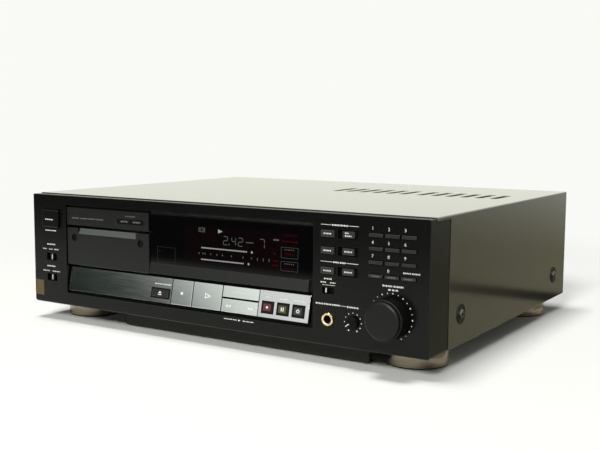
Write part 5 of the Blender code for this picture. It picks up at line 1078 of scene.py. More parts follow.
def make_screws(sizes):
    """Screws in the cover's sides, with their cup washers, and behind and below."""
    side_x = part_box("top_cover")[1].x
    places = []
    facing = []
    for side in (-1, 1):
        for y, z in ((60.3, 24.1), (301.3, 23.1)):
            place = spot(0.0, y, z)
            place.x = side * side_x
            places.append(place)
            facing.append((float(side), 0.0, 0.0))
    head = screw_template(sizes.screw_radius, 2.2 * MM)
    mount(scatter("cover_screws", head, places, facing, SCREW_BRIGHT, most_turn=math.pi),
          "housing")
    washer = ((0.0, 0.0), (0.0, 8.3), (0.4, 8.3), (0.7, 8.0), (0.7, 7.4), (0.2, 5.2), (0.2, 0.0))
    cup = turned("washer_template", washer, SCREW_BLACK, 40)
    mount(scatter("cover_washers", cup, places, facing, SCREW_BLACK), "housing")
    panel = [(x, 98.0) for x in (-205.0, -70.0, 70.0, 205.0)]
    panel += [(x, 8.0) for x in (-205.0, -110.0, 110.0, 205.0)]
    sockets = [(98.0, 49.0), (-26.0, 49.0), (36.0, 68.0), (36.0, 30.0), (148.0, 42.0),
               (182.0, 42.0)]
    behind = [on_back(x, z) for x, z in panel + sockets]
    below = [spot(x, y, 0.0) for x in (-150.0, -84.0, 84.0, 150.0) for y in (44.0, 150.0, 328.0)]
    for label, spots, way in (("rear_screws", behind, BACKWARD),
                              ("underside_screws", below, DOWN)):
        small = screw_template(sizes.small_screw_radius, 1.5 * MM)
        mount(scatter(label, small, spots, way, SCREW_BLACK, most_turn=math.pi), "housing")


# Display


def make_window():
    """The smoked window, its sill, a dark block past the sill's end as painted shade, and the tube
    that hides behind it.
    """
    low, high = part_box("display_window")
    back = 6.2
    rounding = 0.35 * MM
    pane = (PANE_TOP, PANE_BOTTOM, (back, PANE_BOTTOM[1]), (back, PANE_TOP[1]))
    window = section_across("window_acrylic", pane, WINDOW_ACRYLIC, low.x, high.x)
    mount(round_edges(window, rounding, 3), "housing", ["display_window"])
    ledge = ((2.1, 49.2), (0.6, 39.6), (3.6, 39.6), (back, 45.0), (back, 49.2))
    sill_end = spot(106.6, 0.0, 0.0).x
    sill = section_across("window_sill", ledge, SILL_ABS, low.x, sill_end)
    mount(round_edges(sill, rounding, 3), "housing")
    # A dark block fills the opening past the sill's end: painted shade where the opening's return
    # lies in shadow
    setback = 1.6
    deeper = [(y + setback, z) for y, z in ledge[:2] + ledge[3:]]
    end = section_across("window_sill_end", deeper, MATTE_BLACK_AND_SHADE, sill_end + 0.05 * MM, high.x)
    mount(end, "housing")
    softened("display_tube", "fluorescent_tube", TUBE_GLASS)


def make_figures():
    """The display's lit figures, level meters and scale, printed as thin raised shapes."""
    lift = 0.05
    lit = []
    for figure, x, width, height in (("2", 18.3, 5.2, 7.8), ("4", 27.2, 4.9, 7.6),
                                     ("2", 34.2, 5.3, 7.6), ("7", 56.4, 5.6, 8.2)):
        lit += segments(figure, x, 71.4, width, height)
    lit += [disc(24.6, 72.2, 0.7), bar(42.4, 50.4, 75.4, 0.8), bar(70.6, 76.2, 79.8, 1.4)]
    lit += frame_bars(-8.8, -1.8, 81.0, 85.0, 0.7)
    lit += [disc(x, 83.0, 0.75) for x in (-6.9, -3.7)]
    for start in (82.0, 86.9):
        lit += dashes(start, start + 4.4, 72.4, 1.3, 3)
    lit += dashes(82.2, 91.6, 60.6, 1.1, 5)
    new_print("display_lit_figures", lit, window_pane, LIT_DIM, "housing", lift)
    meters = ((67.4, 48.9, 31), (57.1, 45.7, 29))
    shape = bmesh.new()
    for z, end, blocks in meters:
        stamp(shape, disc(end, z, 1.0), window_pane, lift)
    stamp(shape, pointer(15.2, 82.9, 5.0, 3.6), window_pane, lift)
    rows = new_piece(shape, "display_meters", LIT_WHITE, merge=False)
    for z, end, blocks in meters:
        grow(rows, tree_named("row of meter blocks"),
             {"Start": window_pane(-4.9, z, 0.0), "Blocks": blocks, "Pitch": 1.6 * MM,
              "Block": (1.3 * MM, 0.1 * MM, 1.1 * MM), "Finish": bpy.data.materials[LIT_WHITE]})
    mount(rows, "housing")
    scale = (-8.0, -3.6, -1.2, 5.0, 11.8, 17.8, 27.4, 39.8, 48.7)
    dim = [bar(x - 0.5, x + 0.5, 62.3, 1.5) for x in scale]
    dim += [bar(x - 0.4, x + 0.4, 62.0, 2.6) for x in (54.8, 60.8, 66.7)]
    for z_low, z_high in ((65.3, 74.4), (54.6, 62.6)):
        dim += frame_bars(78.6, 95.4, z_low, z_high, 0.22)
    new_print("display_dim_figures", dim, window_pane, LIT_DIM, "housing", lift)
    red = dashes(81.4, 94.1, 84.4, 1.6, 4) + dashes(79.6, 95.2, 79.2, 2.0, 4)
    red += dashes(82.6, 91.4, 68.8, 2.4, 2) + dashes(82.6, 91.6, 56.8, 1.3, 3)
    red += [bar(70.0, 76.0, z, 1.2) for z in (62.1, 58.4)]
    red += [[(70.4, 67.2), (74.2, 67.2), (72.3, 69.8)]]
    new_print("display_red_figures", red, window_pane, LIT_RED, "housing", lift)
    eye = frame_bars(-56.0, -35.0, 50.9, 64.6, 0.25) + [disc(-53.2, 60.8, 0.5)]
    new_print("sensor_outline", eye, window_pane, SILL_ABS, "housing", 0.04)


# Counter panel and drawer


def make_counter():
    """The bar above the drawer, its pocket and two small keys."""
    panel = softened("counter_panel", "counter_bar", SATIN_ABS, 0.2 * MM)
    # The pocket's faces behind the panel's front are painted black: painted shade in the recess
    pocket_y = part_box("counter_panel")[0].y + 0.5 * MM
    paint(panel, MATTE_BLACK_AND_SHADE, lambda place: place.y > pocket_y)
    margin = 2.2
    for key in ("reset", "memory"):
        node = f"counter_{key}_key"
        softened(node, f"{key}_cap", SMALL_KEY_ABS, 0.15 * MM)
        low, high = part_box(node)
        middle = ((low.z + high.z) / 2 - BOTTOM_Z) / MM
        word = dashes(low.x / MM + margin, high.x / MM - margin, middle, 1.3, 1)
        new_print(f"{key}_mark", word, upright((low.y - FACE_Y) / MM), GREY_INK, body_of(node))
    marks = dashes(-162.4, -153.4, 84.4, 1.5, 1) + dashes(-151.1, -142.2, 84.5, 1.5, 1)
    marks += dashes(-140.6, -121.8, 84.6, 1.5, 2) + dashes(-93.6, -81.4, 89.9, 1.1, 2)
    new_print("counter_print", marks, upright(1.0), GREY_INK, "housing")


def make_drawer():
    """The drawer's front with its bright notch, and the tray and rack behind."""
    face = softened("drawer_front", "drawer_face", SATIN_ABS, 0.25 * MM)
    # Faces behind the drawer's front are painted black: painted shade in its recesses and the gaps
    # round it
    recess_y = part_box("drawer_front")[0].y + 0.5 * MM
    paint(face, MATTE_BLACK_AND_SHADE, lambda place: place.y > recess_y)
    slope = ((1.25, 69.35), (3.3, 74.75))
    plate = [(y - 0.22, z) for y, z in slope] + [(y + 0.25, z) for y, z in reversed(slope)]
    notch = section_across("drawer_notch_plate", plate, NOTCH_METAL,
                           *[spot(x, 0.0, 0.0).x for x in (-154.2, -81.2)])
    mount(round_edges(notch, 0.08 * MM), "drawer")
    softened("drawer_tray", "drawer_carriage", MATTE_BLACK_AND_SHADE, 0.25 * MM)
    low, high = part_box("drawer_tray")
    middle = (low.x + high.x) / 2 / MM
    well_floor = (low.z - BOTTOM_Z) / MM + 9.0
    ribs = [(spot(middle + offset - 0.6, 20.0, well_floor - 0.1),
             spot(middle + offset + 0.6, 62.0, well_floor + 0.5)) for offset in (-27.0, 27.0)]
    mount(round_edges(boxes("tray_ribs", ribs, MATTE_BLACK_AND_SHADE), 0.15 * MM), "drawer")
    leaf = ((0.0, 0.0), (0.35, 0.0), (1.5, 7.0), (1.15, 7.2), (0.0, 0.6))
    leaf_width = 8.0
    well_side = 37.4
    foot = well_floor + 2.0
    springs = bmesh.new()
    for side in (-1, 1):
        for y in (26.0, 52.0):
            add_loft(springs, [[spot(middle + side * (well_side - reach), end, foot + z)
                                for reach, z in leaf] for end in (y, y + leaf_width)])
    mount(new_piece(springs, "tray_springs", SCREW_BRIGHT), "drawer")
    softened("drawer_pinion", "pinion_gear", ACETAL, 0.1 * MM)


# Control strip


def make_strip():
    """The leaning strip of brushed metal with its large keys and small buttons."""
    middle = leaning_strip(0.0, 0.0, 0.0)
    outward = (leaning_strip(0.0, 0.0, 1.0) - middle).normalized()

    def behind(depth):
        return lambda place: (place - middle).dot(outward) < -depth

    plate = softened("control_panel", "strip_plate", STRIP_METAL, 0.12 * MM)
    # Faces more than 1 mm behind the plate's face, its sides and the bed, are painted black:
    # painted shade in the gaps
    paint(plate, MATTE_BLACK_AND_SHADE, behind(1.0 * MM))
    for node, label in (("stop_key", "stop_bar"), ("play_key", "play_bar"),
                        ("search_key_upper", "search_bar_upper"),
                        ("search_key_lower", "search_bar_lower")):
        key = softened(node, label, BAR_METAL, 0.12 * MM)
        # The keys' side walls are painted black: painted shade in the gaps between keys
        paint(key, MATTE_BLACK_AND_SHADE, behind(0.2 * MM))
    for name, finish_name in (("eject", EJECT_ABS), ("record", RECORD_ABS),
                              ("pause", PAUSE_ABS), ("mute", MUTE_ABS)):
        softened(f"{name}_button", f"{name}_cap", finish_name, 0.2 * MM)
    # Dark frames round the caps: painted shade in the gaps round them
    shade_margin = 1.3
    shade_frames = []
    for x, rise, width, height in ((*EJECT_PLACE, 19.6, 7.0), (RECORD_X, CAP_RISE, *CAP_SIZE),
                                   (PAUSE_X, CAP_RISE, *CAP_SIZE), (MUTE_X, CAP_RISE, *CAP_SIZE)):
        shade_frames += frame_bars(x - width / 2 - shade_margin, x + width / 2 + shade_margin,
                           rise - height / 2 - shade_margin, rise + height / 2 + shade_margin, 1.15)
    new_print("button_rims", shade_frames, leaning_strip, MATTE_BLACK_AND_SHADE, "housing", 0.3)
    over = dashes(-60.0, -41.0, 5.4, 1.5, 2) + dashes(63.6, 68.4, 5.7, 1.2, 1)
    over += dashes(77.6, 84.8, 5.7, 1.2, 2) + dashes(91.0, 102.0, 5.7, 1.2, 3)
    new_print("strip_print", over, leaning_strip, WHITE_INK, "housing")


def make_strip_marks():
    """Transport signs on the strip's keys, each of which moves with its key."""
    proud = 1.0

    def raised(x, rise, out):
        return leaning_strip(x, rise, out + proud)

    eject = [[(-54.4, -3.0), (-50.4, -3.0), (-52.4, -0.9)], bar(-54.4, -50.4, -4.2, 0.8)]
    new_print("eject_sign", eject, raised, WHITE_INK, "eject_button")
    stop = [bar(-29.1, -26.5, -0.6, 2.6)]
    new_print("stop_sign", stop, leaning_strip, WHITE_INK, "stop_key")
    play = band([(-1.6, -2.6), (-1.6, 2.8), (5.6, 0.1)], [(-0.7, -1.2), (-0.7, 1.4), (2.8, 0.1)])
    new_print("play_sign", play, leaning_strip, WHITE_INK, "play_key")
    search = [pointer(x + offset, -6.1, width, 2.4)
              for x, width in ((24.6, -2.8), (48.4, 2.8)) for offset in (-1.5, 1.5)]
    new_print("search_lower_sign", search, leaning_strip, WHITE_INK, "search_key_lower")
    record = [disc(RECORD_X, CAP_RISE, 1.1, 20)]
    pause = [bar(x, x + 0.9, CAP_RISE, 3.2) for x in (79.7, 81.6)]
    mute = band(disc(MUTE_X, CAP_RISE, 1.6, 20), disc(MUTE_X, CAP_RISE, 0.9, 20))
    caps = (("record", RECORD_X, record), ("pause", PAUSE_X, pause), ("mute", MUTE_X, mute))
    half_height = CAP_SIZE[1] / 2 - 0.15
    half_width = CAP_SIZE[0] / 2 - 0.15
    for name, x, sign in caps:
        edge = frame_bars(x - half_width, x + half_width, CAP_RISE - half_height,
                          CAP_RISE + half_height, 0.8)
        new_print(f"{name}_cap_edge", edge, raised, MATTE_BLACK_AND_SHADE, f"{name}_button")
    for name, x, sign in caps:
        new_print(f"{name}_sign", sign, raised, WHITE_INK, f"{name}_button")


# Keys and switches


def make_keys():
    """The ID keys and the twelve number keys, each with its legend."""
    for name in ("start_auto", "start_write", "skip_write", "start_renumber", "start_erase",
                 "skip_erase"):
        softened(f"{name}_key", f"{name}_cap", KEY_ABS, 0.25 * MM)
    for number in range(1, 13):
        softened(f"number_key_{number:02d}", f"number_cap_{number:02d}", SMALL_KEY_ABS,
                 0.2 * MM)
    proud = upright(-1.5)
    flush = upright(0.0)
    for name, x, z, surface in (("start_auto", 125.7, 89.3, proud),
                                ("start_write", 125.7, 75.7, proud),
                                ("skip_write", 125.7, 59.4, proud),
                                ("start_erase", 144.0, 75.7, flush),
                                ("skip_erase", 144.0, 59.4, flush)):
        new_print(f"{name}_mark", dashes(x - 3.4, x + 3.4, z, 1.5, 1), surface, WHITE_INK,
                  body_of(f"{name}_key"))
    renumber = dashes(141.0, 144.2, 90.5, 1.3, 1) + dashes(141.0, 147.0, 88.3, 1.3, 1)
    new_print("start_renumber_mark", renumber, flush, WHITE_INK, "start_renumber_key")
    for number, x in ((10, 169.15), (11, 183.3), (12, 197.45)):
        new_print(f"number_mark_{number:02d}", dashes(x - 3.2, x + 3.2, 58.95, 1.4, 1),
                  upright(-1.6), GREY_INK, f"number_key_{number:02d}")


def make_switches():
    """The power button and the three slide switches, with their white lines."""
    softened("power_button", "power_cap", BLACK_ABS, 0.4 * MM)
    word = dashes(-195.2, -184.6, 81.4, 1.6, 1)
    new_print("power_mark", word, upright(-3.1), WHITE_INK, "power")
    for node, label, x, z, tall in (("timer_switch", "timer_nub", -190.6, 44.3, 5.0),
                                    ("input_switch", "input_nub", -190.6, 24.0, 5.0),
                                    ("skip_play_switch", "skip_nub", 123.7, 43.0, 3.6)):
        softened(node, label, MATTE_BLACK_AND_SHADE, 0.2 * MM)
        front = upright((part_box(node)[0].y - FACE_Y) / MM)
        new_print(label + "_line", [bar(x - 0.45, x + 0.45, z, tall)], front, WHITE_INK,
                  body_of(node))


# Knobs and sockets


def ribbed_knob(name, profile, finish_name, facets, centre, ribs, radius, out, rib):
    """A turned knob with grip ribs round it.

    radius is where the ribs stand, out how far their middle is in front of the centre, both
    in millimetres, and rib one rib's length, width and height in metres.
    """
    piece = turned(name, profile, finish_name, facets, centre, FORWARD)
    grow(piece, tree_named("grip ribs round a knob"),
         {"Place": centre - Vector((0.0, out * MM, 0.0)), "Radius": radius * MM, "Ribs": ribs,
          "Rib length": rib[0], "Rib width": rib[1], "Rib height": rib[2],
          "Finish": bpy.data.materials[finish_name]})
    return smooth(piece)


def make_level_knobs(sizes):
    """The level knob and the balance ring round it, with grip ribs, and painted shade on their
    sides.
    """
    centre = spot(182.3, 0.0, 27.2)
    knob = ((-9.0, 0.0), (-9.0, 3.0), (14.0, 3.0), (14.0, 14.5), (14.2, 14.75), (14.4, 14.8),
            (15.5, 14.8), (15.7, 14.7), (15.85, 14.5), (16.45, 13.3), (16.57, 13.05), (16.6, 12.8),
            (16.6, 0.0))
    ring = ((-6.0, 0.0), (-6.0, 4.6), (0.5, 4.6), (0.5, 15.9), (0.7, 16.2), (1.0, 16.3),
            (13.0, 16.3), (13.3, 16.2), (13.5, 16.0), (13.6, 15.7), (13.6, 15.2), (13.4, 15.0),
            (13.4, 0.0))
    face_depth = 1.2
    for label, profile, node, radius, out, length in (
            ("level_knob", knob, "record_level_knob", 14.8, 14.95, 0.9),
            ("balance_ring", ring, "record_balance_ring", 16.3, 7.0, 10.8)):
        piece = ribbed_knob(label, profile, KNOB_ABS, 128, centre, sizes.knob_ribs, radius, out,
                            (length * MM, 0.5 * MM, sizes.rib_lift))
        # Everything behind the front face, the sides and their ribs, is painted black: painted
        # shade on the knobs' sides
        face = centre.y - (profile[-1][0] - face_depth) * MM
        paint(piece, MATTE_BLACK_AND_SHADE, lambda place: place.y > face)
        mount(piece, body_of(node), [node])


def make_phones_knob():
    """The small level knob of the headphones, with its finger blade and white line."""
    profile = ((-7.0, 0.0), (-7.0, 2.6), (0.3, 2.6), (0.3, 4.7), (0.5, 5.0), (2.6, 5.0),
               (3.0, 4.8), (3.2, 4.4), (3.2, 0.0))
    x, z = PHONES_PLACE
    knob = ribbed_knob("phones_knob", profile, MATTE_BLACK_AND_SHADE, 64, spot(x, 0.0, z), 40, 5.0, 1.6,
                       (1.8 * MM, 0.35 * MM, 0.15 * MM))
    mount(knob, "phones_level", ["phones_level_knob"])
    turn = math.radians(-120.0)
    along = Vector((math.sin(turn), math.cos(turn)))
    across = Vector((along.y, -along.x))

    def slab(reach_low, reach_high, half):
        points = []
        for reach, way in ((reach_low, -half), (reach_high, -half), (reach_high, half),
                           (reach_low, half)):
            point = Vector(PHONES_PLACE) + along * reach + across * way
            points.append((point.x, point.y))
        return points

    base = 3.1
    tall = 1.45
    shape = bmesh.new()
    stamp(shape, slab(-4.3, 4.6, 1.0), upright(-base), tall)
    blade = round_edges(new_piece(shape, "phones_knob_blade", MATTE_BLACK_AND_SHADE), 0.25 * MM)
    mount(blade, "phones_level")
    new_print("phones_knob_line", [slab(1.4, 4.2, 0.35)], upright(-base - tall), WHITE_INK,
              "phones_level")


def make_dots(sizes):
    """The printed dots round the two level controls."""
    lift = sizes.print_lift / MM
    dot = ((-0.1, 0.0), (-0.1, 1.0), (lift, 1.0), (lift, 0.0))
    template = turned("dot_template", dot, WHITE_INK, 16)
    large = 0.6
    small = 0.42
    faint = 0.3
    places = []
    scales = []

    def add_dot(centre, reach, degrees, scale):
        angle = math.radians(degrees)
        places.append(spot(centre[0] + reach * math.sin(angle), 0.0,
                           centre[1] + reach * math.cos(angle)))
        scales.append(scale)

    for index in range(-2, 13):
        scale = large if index % 2 == 0 else small
        add_dot((182.2, 27.9), 18.7, -23.7 + 14.4 * index, scale if index > -1 else faint)
    for index in range(11):
        add_dot(PHONES_PLACE, 7.6, -150.0 + 30.0 * index, large if index in (0, 10) else small)
    mount(scatter("dial_dots", template, places, FORWARD, WHITE_INK, scales), "housing")


def make_socket():
    """The gold-rimmed headphone socket with its deep bore."""
    centre = spot(125.8, 0.0, 19.5)
    profile = ((-29.8, 0.0), (-29.8, 7.5), (-3.8, 7.5), (-3.8, 4.6), (0.0, 4.6), (0.0, 5.1),
               (0.3, 5.3), (0.9, 5.3), (1.2, 5.1), (1.3, 4.8), (1.3, 4.2), (1.2, 3.8), (0.8, 3.4),
               (0.2, 3.25), (-28.2, 3.25), (-28.2, 0.0))
    socket = smooth(turned("phones_socket", profile, MATTE_BLACK_AND_SHADE, 72, centre, FORWARD))
    gold_back = centre.y + 6.0 * MM
    gold_radius = 5.8 * MM

    def gilded(place):
        away = math.hypot(place.x - centre.x, place.z - centre.z)
        return place.y < gold_back and away < gold_radius

    paint(socket, GOLD, gilded)
    mount(socket, "housing", ["headphone_socket"])


def make_rear_sockets():
    """Phono sockets with plated sleeves, optical sockets and the mains inlet."""
    softened("jack_block", "jack_moulding", MATTE_BLACK_AND_SHADE, 0.2 * MM)
    reach = (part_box("jack_block")[1].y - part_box("rear_panel")[1].y) / MM
    sleeve = ((0.3, 4.1), (0.3, 4.35), (reach - 0.5, 4.35), (reach - 0.2, 4.2), (reach + 0.1, 4.1),
              (reach + 0.1, 2.4), (reach - 0.1, 2.3), (reach - 0.1, 2.0), (reach - 0.6, 2.0),
              (reach - 0.6, 4.1), (0.3, 4.1))
    ring = ((1.4, 4.4), (1.4, 6.2), (1.9, 6.2), (2.2, 5.9), (2.2, 4.4), (1.4, 4.4))
    columns = (62.0, 84.0, 12.0)
    red_row = 38.0
    white_row = 60.0
    places = [on_back(x, z) for x in columns for z in (red_row, white_row)]
    template = turned("sleeve_template", sleeve, GOLD, 40)
    mount(scatter("phono_sleeves", template, places, BACKWARD, GOLD), "housing")
    for label, finish_name, z in (("phono_rings_red", RED_PLASTIC, red_row),
                                  ("phono_rings_white", WHITE_PLASTIC, white_row)):
        template = turned("ring_template", ring, finish_name, 40)
        row = [on_back(x, z) for x in columns]
        mount(scatter(label, template, row, BACKWARD, finish_name), "housing")
    softened("mains_inlet", "inlet_moulding", MATTE_BLACK_AND_SHADE, 0.2 * MM)
    pin = ((-12.0, 0.0), (-12.0, 1.3), (-3.6, 1.3), (-3.1, 1.0), (-3.0, 0.0))
    middle = spot(165.0, 0.0, 30.0)
    shape = bmesh.new()
    for offset in (-4.3, 4.3):
        place = (middle.x + offset * MM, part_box("mains_inlet")[1].y, middle.z)
        add_turned(shape, pin, place, BACKWARD, 24)
    mount(smooth(new_piece(shape, "inlet_pins", ZINC)), "housing")


# Printing on the fascia


def make_printing(sizes):
    """Screen printing on the fascia: legends as strokes, rules, and the keys' figures."""
    face = upright(0.0)
    power = dashes(-198.8, -192.4, 70.2, 1.4, 1) + dashes(-191.4, -184.0, 70.2, 1.4, 1)
    timer = dashes(-196.5, -186.0, 56.5, 1.6, 2)
    for start, stop in ((-202.5, -197.4), (-194.3, -189.3), (-186.6, -181.0)):
        timer += dashes(start, stop, 51.7, 1.3, 1)
    source = dashes(-197.0, -186.4, 34.9, 1.6, 2)
    source += dashes(-203.0, -194.4, 30.0, 1.3, 2) + dashes(-189.8, -179.8, 30.0, 1.3, 2)
    ids = []
    for z, start, word, stop in ((96.3, 119.0, (129.0, 143.8), 153.2),
                                 (66.5, 118.6, (130.5, 142.2), 153.3)):
        ids += [bar(start, word[0] - 1.0, z, 0.35), bar(word[1] + 1.0, stop, z, 0.35)]
        ids += dashes(*word, z, 1.7, 2)
    skip_play = dashes(122.1, 129.0, 52.6, 1.5, 1) + dashes(119.0, 123.8, 49.6, 1.3, 1)
    skip_play += dashes(127.9, 132.8, 49.6, 1.3, 1) + [bar(120.5, 132.4, 47.5, 0.3)]
    numbers = dashes(192.4, 206.4, 63.3, 1.5, 2)
    level = dashes(174.9, 192.8, 52.1, 1.9, 2) + dashes(179.9, 188.2, 49.2, 1.5, 3)
    phones = dashes(114.6, 136.6, 31.9, 1.7, 3) + [bar(137.4, 142.6, 31.8, 0.3)]
    phones += dashes(143.5, 153.7, 31.6, 1.7, 1)
    lip = dashes(21.3, 34.6, 7.8, 1.2, 3) + dashes(41.4, 52.5, 7.8, 1.2, 3)
    lip += [pointer(37.8, 7.8, 2.4, 1.7)]
    shape = bmesh.new()
    lift = sizes.print_lift / MM
    for outline in power + timer + source + ids + skip_play + numbers + level + phones + lip:
        stamp(shape, outline, face, lift)
    figure_height = 2.6
    for number in range(1, 10):
        row, column = divmod(number - 1, 3)
        add_figure(shape, str(number), 165.7 + 14.05 * column, (95.9, 85.0, 74.3)[row],
                   figure_height, face, lift)
    add_figure(shape, "0", 179.6, 63.5, figure_height, face, lift)
    mount(new_piece(shape, "front_printing", WHITE_INK, merge=False), "housing")


# Inside


def make_inside():
    """The boards, the transformer, the tape mechanism and its head drum."""
    softened("mechanism_frame", "mechanism_casting", MATTE_BLACK_AND_SHADE, 0.15 * MM)
    softened("key_board", "key_circuit_board", BOARD, 0.08 * MM)
    board = softened("main_board", "main_circuit_board", BOARD, 0.08 * MM)
    board_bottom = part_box("main_board")[0].z
    shield_bottom = board_bottom + 9.5 * MM
    shield_top = board_bottom + 26.5 * MM
    paint(board, ZINC, lambda place: shield_bottom < place.z < shield_top)
    paint(board, MATTE_BLACK_AND_SHADE, lambda place: place.z >= shield_top)
    transformer = softened("power_transformer", "mains_transformer", CORE, 0.3 * MM)
    low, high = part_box("power_transformer")
    middle = (low.y + high.y) / 2
    core_half = 17.2 * MM
    paint(transformer, ACETAL, lambda place: abs(place.y - middle) > core_half)
    softened("head_drum", "drum_upper", DRUM, 0.15 * MM)


# Stage


def level_corners(x_low, x_high, y_start, y_end, z):
    """The corners of a level card or floor, in metres."""
    return [(x_low, y_start, z), (x_high, y_start, z), (x_high, y_end, z), (x_low, y_end, z)]


def make_floor(settings):
    """A pale floor that keeps the shadow near the deck and runs out to white."""
    reach = 30.0
    plain_until = 0.4
    white_from = 0.9
    mesh = bpy.data.meshes.new("floor")
    mesh.from_pydata(level_corners(-reach, reach, -reach, reach, 0.0), [], [(0, 1, 2, 3)])
    floor = new_object("floor", mesh)
    material = finish("studio_floor_matte", settings.floor, 1.0, 0.0, {"Specular IOR Level": 0.0})
    tree = material.node_tree
    shader = tree.nodes["Principled BSDF"]
    place = add_node(tree, "ShaderNodeTexCoord")
    away = add_node(tree, "ShaderNodeVectorMath", {0: place.outputs["Object"]}, operation="LENGTH")
    share = add_node(tree, "ShaderNodeMapRange",
                     {"Value": away.outputs["Value"], "From Min": plain_until,
                      "From Max": white_from}, interpolation_type="SMOOTHSTEP")
    path = add_node(tree, "ShaderNodeLightPath")
    seen = add_node(tree, "ShaderNodeMath", {0: path.outputs["Is Camera Ray"],
                                             1: path.outputs["Is Glossy Ray"]}, operation="MAXIMUM")
    amount = add_node(tree, "ShaderNodeMath", {0: share.outputs[0], 1: seen.outputs[0]},
                      operation="MULTIPLY")
    white = add_node(tree, "ShaderNodeEmission", {"Color": (*settings.backdrop, 1.0)})
    mix = add_node(tree, "ShaderNodeMixShader", {0: amount.outputs[0], 1: shader.outputs[0],
                                                 2: white.outputs[0]})
    feed(tree, tree.nodes["Material Output"], {"Surface": mix.outputs[0]})
    mesh.materials.append(material)


def make_world(settings):
    """Soft light from all sides, a pale room for reflections, and white for the camera."""
    world = bpy.data.worlds.new("studio")
    world.use_nodes = True
    bpy.context.scene.world = world
    tree = world.node_tree
    tree.nodes.clear()
    path = add_node(tree, "ShaderNodeLightPath")
    soft = add_node(tree, "ShaderNodeBackground", {"Color": (1.0, 1.0, 0.985, 1.0),
                                                   "Strength": settings.sky_level})
    room = add_node(tree, "ShaderNodeBackground", {"Color": (*settings.room, 1.0)})
    white = add_node(tree, "ShaderNodeBackground", {"Color": (*settings.backdrop, 1.0)})
    mirrored = add_node(tree, "ShaderNodeMixShader", {0: path.outputs["Is Glossy Ray"],
                                                      1: soft.outputs[0], 2: room.outputs[0]})
    straight = add_node(tree, "ShaderNodeMath", {0: path.outputs["Is Camera Ray"],
                                                 1: path.outputs["Is Transmission Ray"]},
                        operation="MAXIMUM")
    mix = add_node(tree, "ShaderNodeMixShader", {0: straight.outputs[0], 1: mirrored.outputs[0],
                                                 2: white.outputs[0]})
    add_node(tree, "ShaderNodeOutputWorld", {"Surface": mix.outputs[0]})


def add_lamp(name, place, target, width, power):
    """A square lamp that points at a target."""
    lamp = bpy.data.lights.new(name, "AREA")
    lamp.shape = "SQUARE"
    lamp.size = width
    lamp.energy = power
    holder = new_object(name, lamp)
    holder.location = place
    holder.rotation_euler = (target - place).to_track_quat("-Z", "Y").to_euler()


def add_card(name, corners, tones, way, start, stop, power=1.0):
    """A card that only polished surfaces see, as a photographer flags reflections.

    Its tone runs from the first to the second along a direction, between two distances,
    and lingers at the first with a power above one.
    """
    mesh = bpy.data.meshes.new(name)
    mesh.from_pydata(corners, [], [(0, 1, 2, 3)])
    card = new_object(name, mesh)
    material = finish(name + "_paper", tones[0], 1.0)
    tree = material.node_tree
    place = add_node(tree, "ShaderNodeTexCoord")
    along = add_node(tree, "ShaderNodeVectorMath", {0: place.outputs["Object"], 1: way},
                     operation="DOT_PRODUCT")
    share = add_node(tree, "ShaderNodeMapRange",
                     {"Value": along.outputs["Value"], "From Min": start, "From Max": stop})
    bent = add_node(tree, "ShaderNodeMath", {0: share.outputs[0], 1: power}, operation="POWER")
    tone = add_node(tree, "ShaderNodeMix",
                    {0: bent.outputs[0], 6: (*tones[0], 1.0), 7: (*tones[1], 1.0)},
                    data_type="RGBA")
    shine = add_node(tree, "ShaderNodeEmission", {"Color": tone.outputs[2]})
    feed(tree, tree.nodes["Material Output"], {"Surface": shine.outputs[0]})
    mesh.materials.append(material)
    for ray in ("camera", "diffuse", "transmission", "shadow"):
        setattr(card, "visible_" + ray, False)


def add_cards(settings):
    """Flags for the reflections: dark at the left, dim ahead, and olive at the right."""
    pale = tuple(settings.backdrop)
    dark = linear("#1C1E1C")
    dark_green = linear("#0E2017")
    olive = linear("#7E7C66")
    white = (1.0, 1.0, 1.0)
    black = (0.0, 0.0, 0.0)
    # The strip's metal mirrors this flag, which darkens to the left and downwards
    turn = math.radians(40.0)
    ahead = Vector((-math.sin(turn), -math.cos(turn), 0.0))
    leftward = Vector((ahead.y, -ahead.x, 0.0))
    middle = spot(0.0, 0.0, 0.0) + ahead * 5.0
    middle.z = 0.0
    near = middle + leftward * -2.0
    far = middle + leftward * 6.0
    up = Vector((0.0, 0.0, 4.0))
    slant = Vector((0.0, 0.0, 1.28)) - leftward
    offset = Vector((middle.x, middle.y, BOTTOM_Z)).dot(slant)
    add_card("left_flag", [near, far, far + up, near + up], (dark_green, white), slant,
             offset + 0.58, offset + 1.46, 1.6)
    # The floor ahead falls off to dark, which the upper part of the upright faces mirror
    low = 0.001
    front = FACE_Y - 0.4
    add_card("floor_flag", level_corners(-6.0, 1.5, front, front - 4.0, low), (pale, dark),
             FORWARD, -front, -front + 0.16)
    # What the cover's side mirrors: a dim olive floor with a dark seam across it
    seam = spot(0.0, 385.0, 0.0).y
    wall = seam + 3.0
    for label, y_low, y_high, tones, start, stop in (
            ("side_flag_near", seam - 0.45, seam - 0.04, (olive, olive), 0.0, 1.0),
            ("side_flag_edge", seam - 0.04, seam, (olive, black), seam - 0.04, seam - 0.01),
            ("side_flag_seam", seam, seam + 0.05, (black, olive), seam + 0.02, seam + 0.05),
            ("side_flag_far", seam + 0.05, wall, (olive, pale), seam + 0.4, seam + 4.0)):
        add_card(label, level_corners(0.222, 4.0, y_low, y_high, low), tones, BACKWARD, start,
                 stop)
    add_card("side_flag_wall", [(0.3, wall, 0.0), (4.0, wall, 0.0), (4.0, wall, 1.5),
                                (0.3, wall, 1.5)], (olive, pale), UP, 0.2, 0.9)


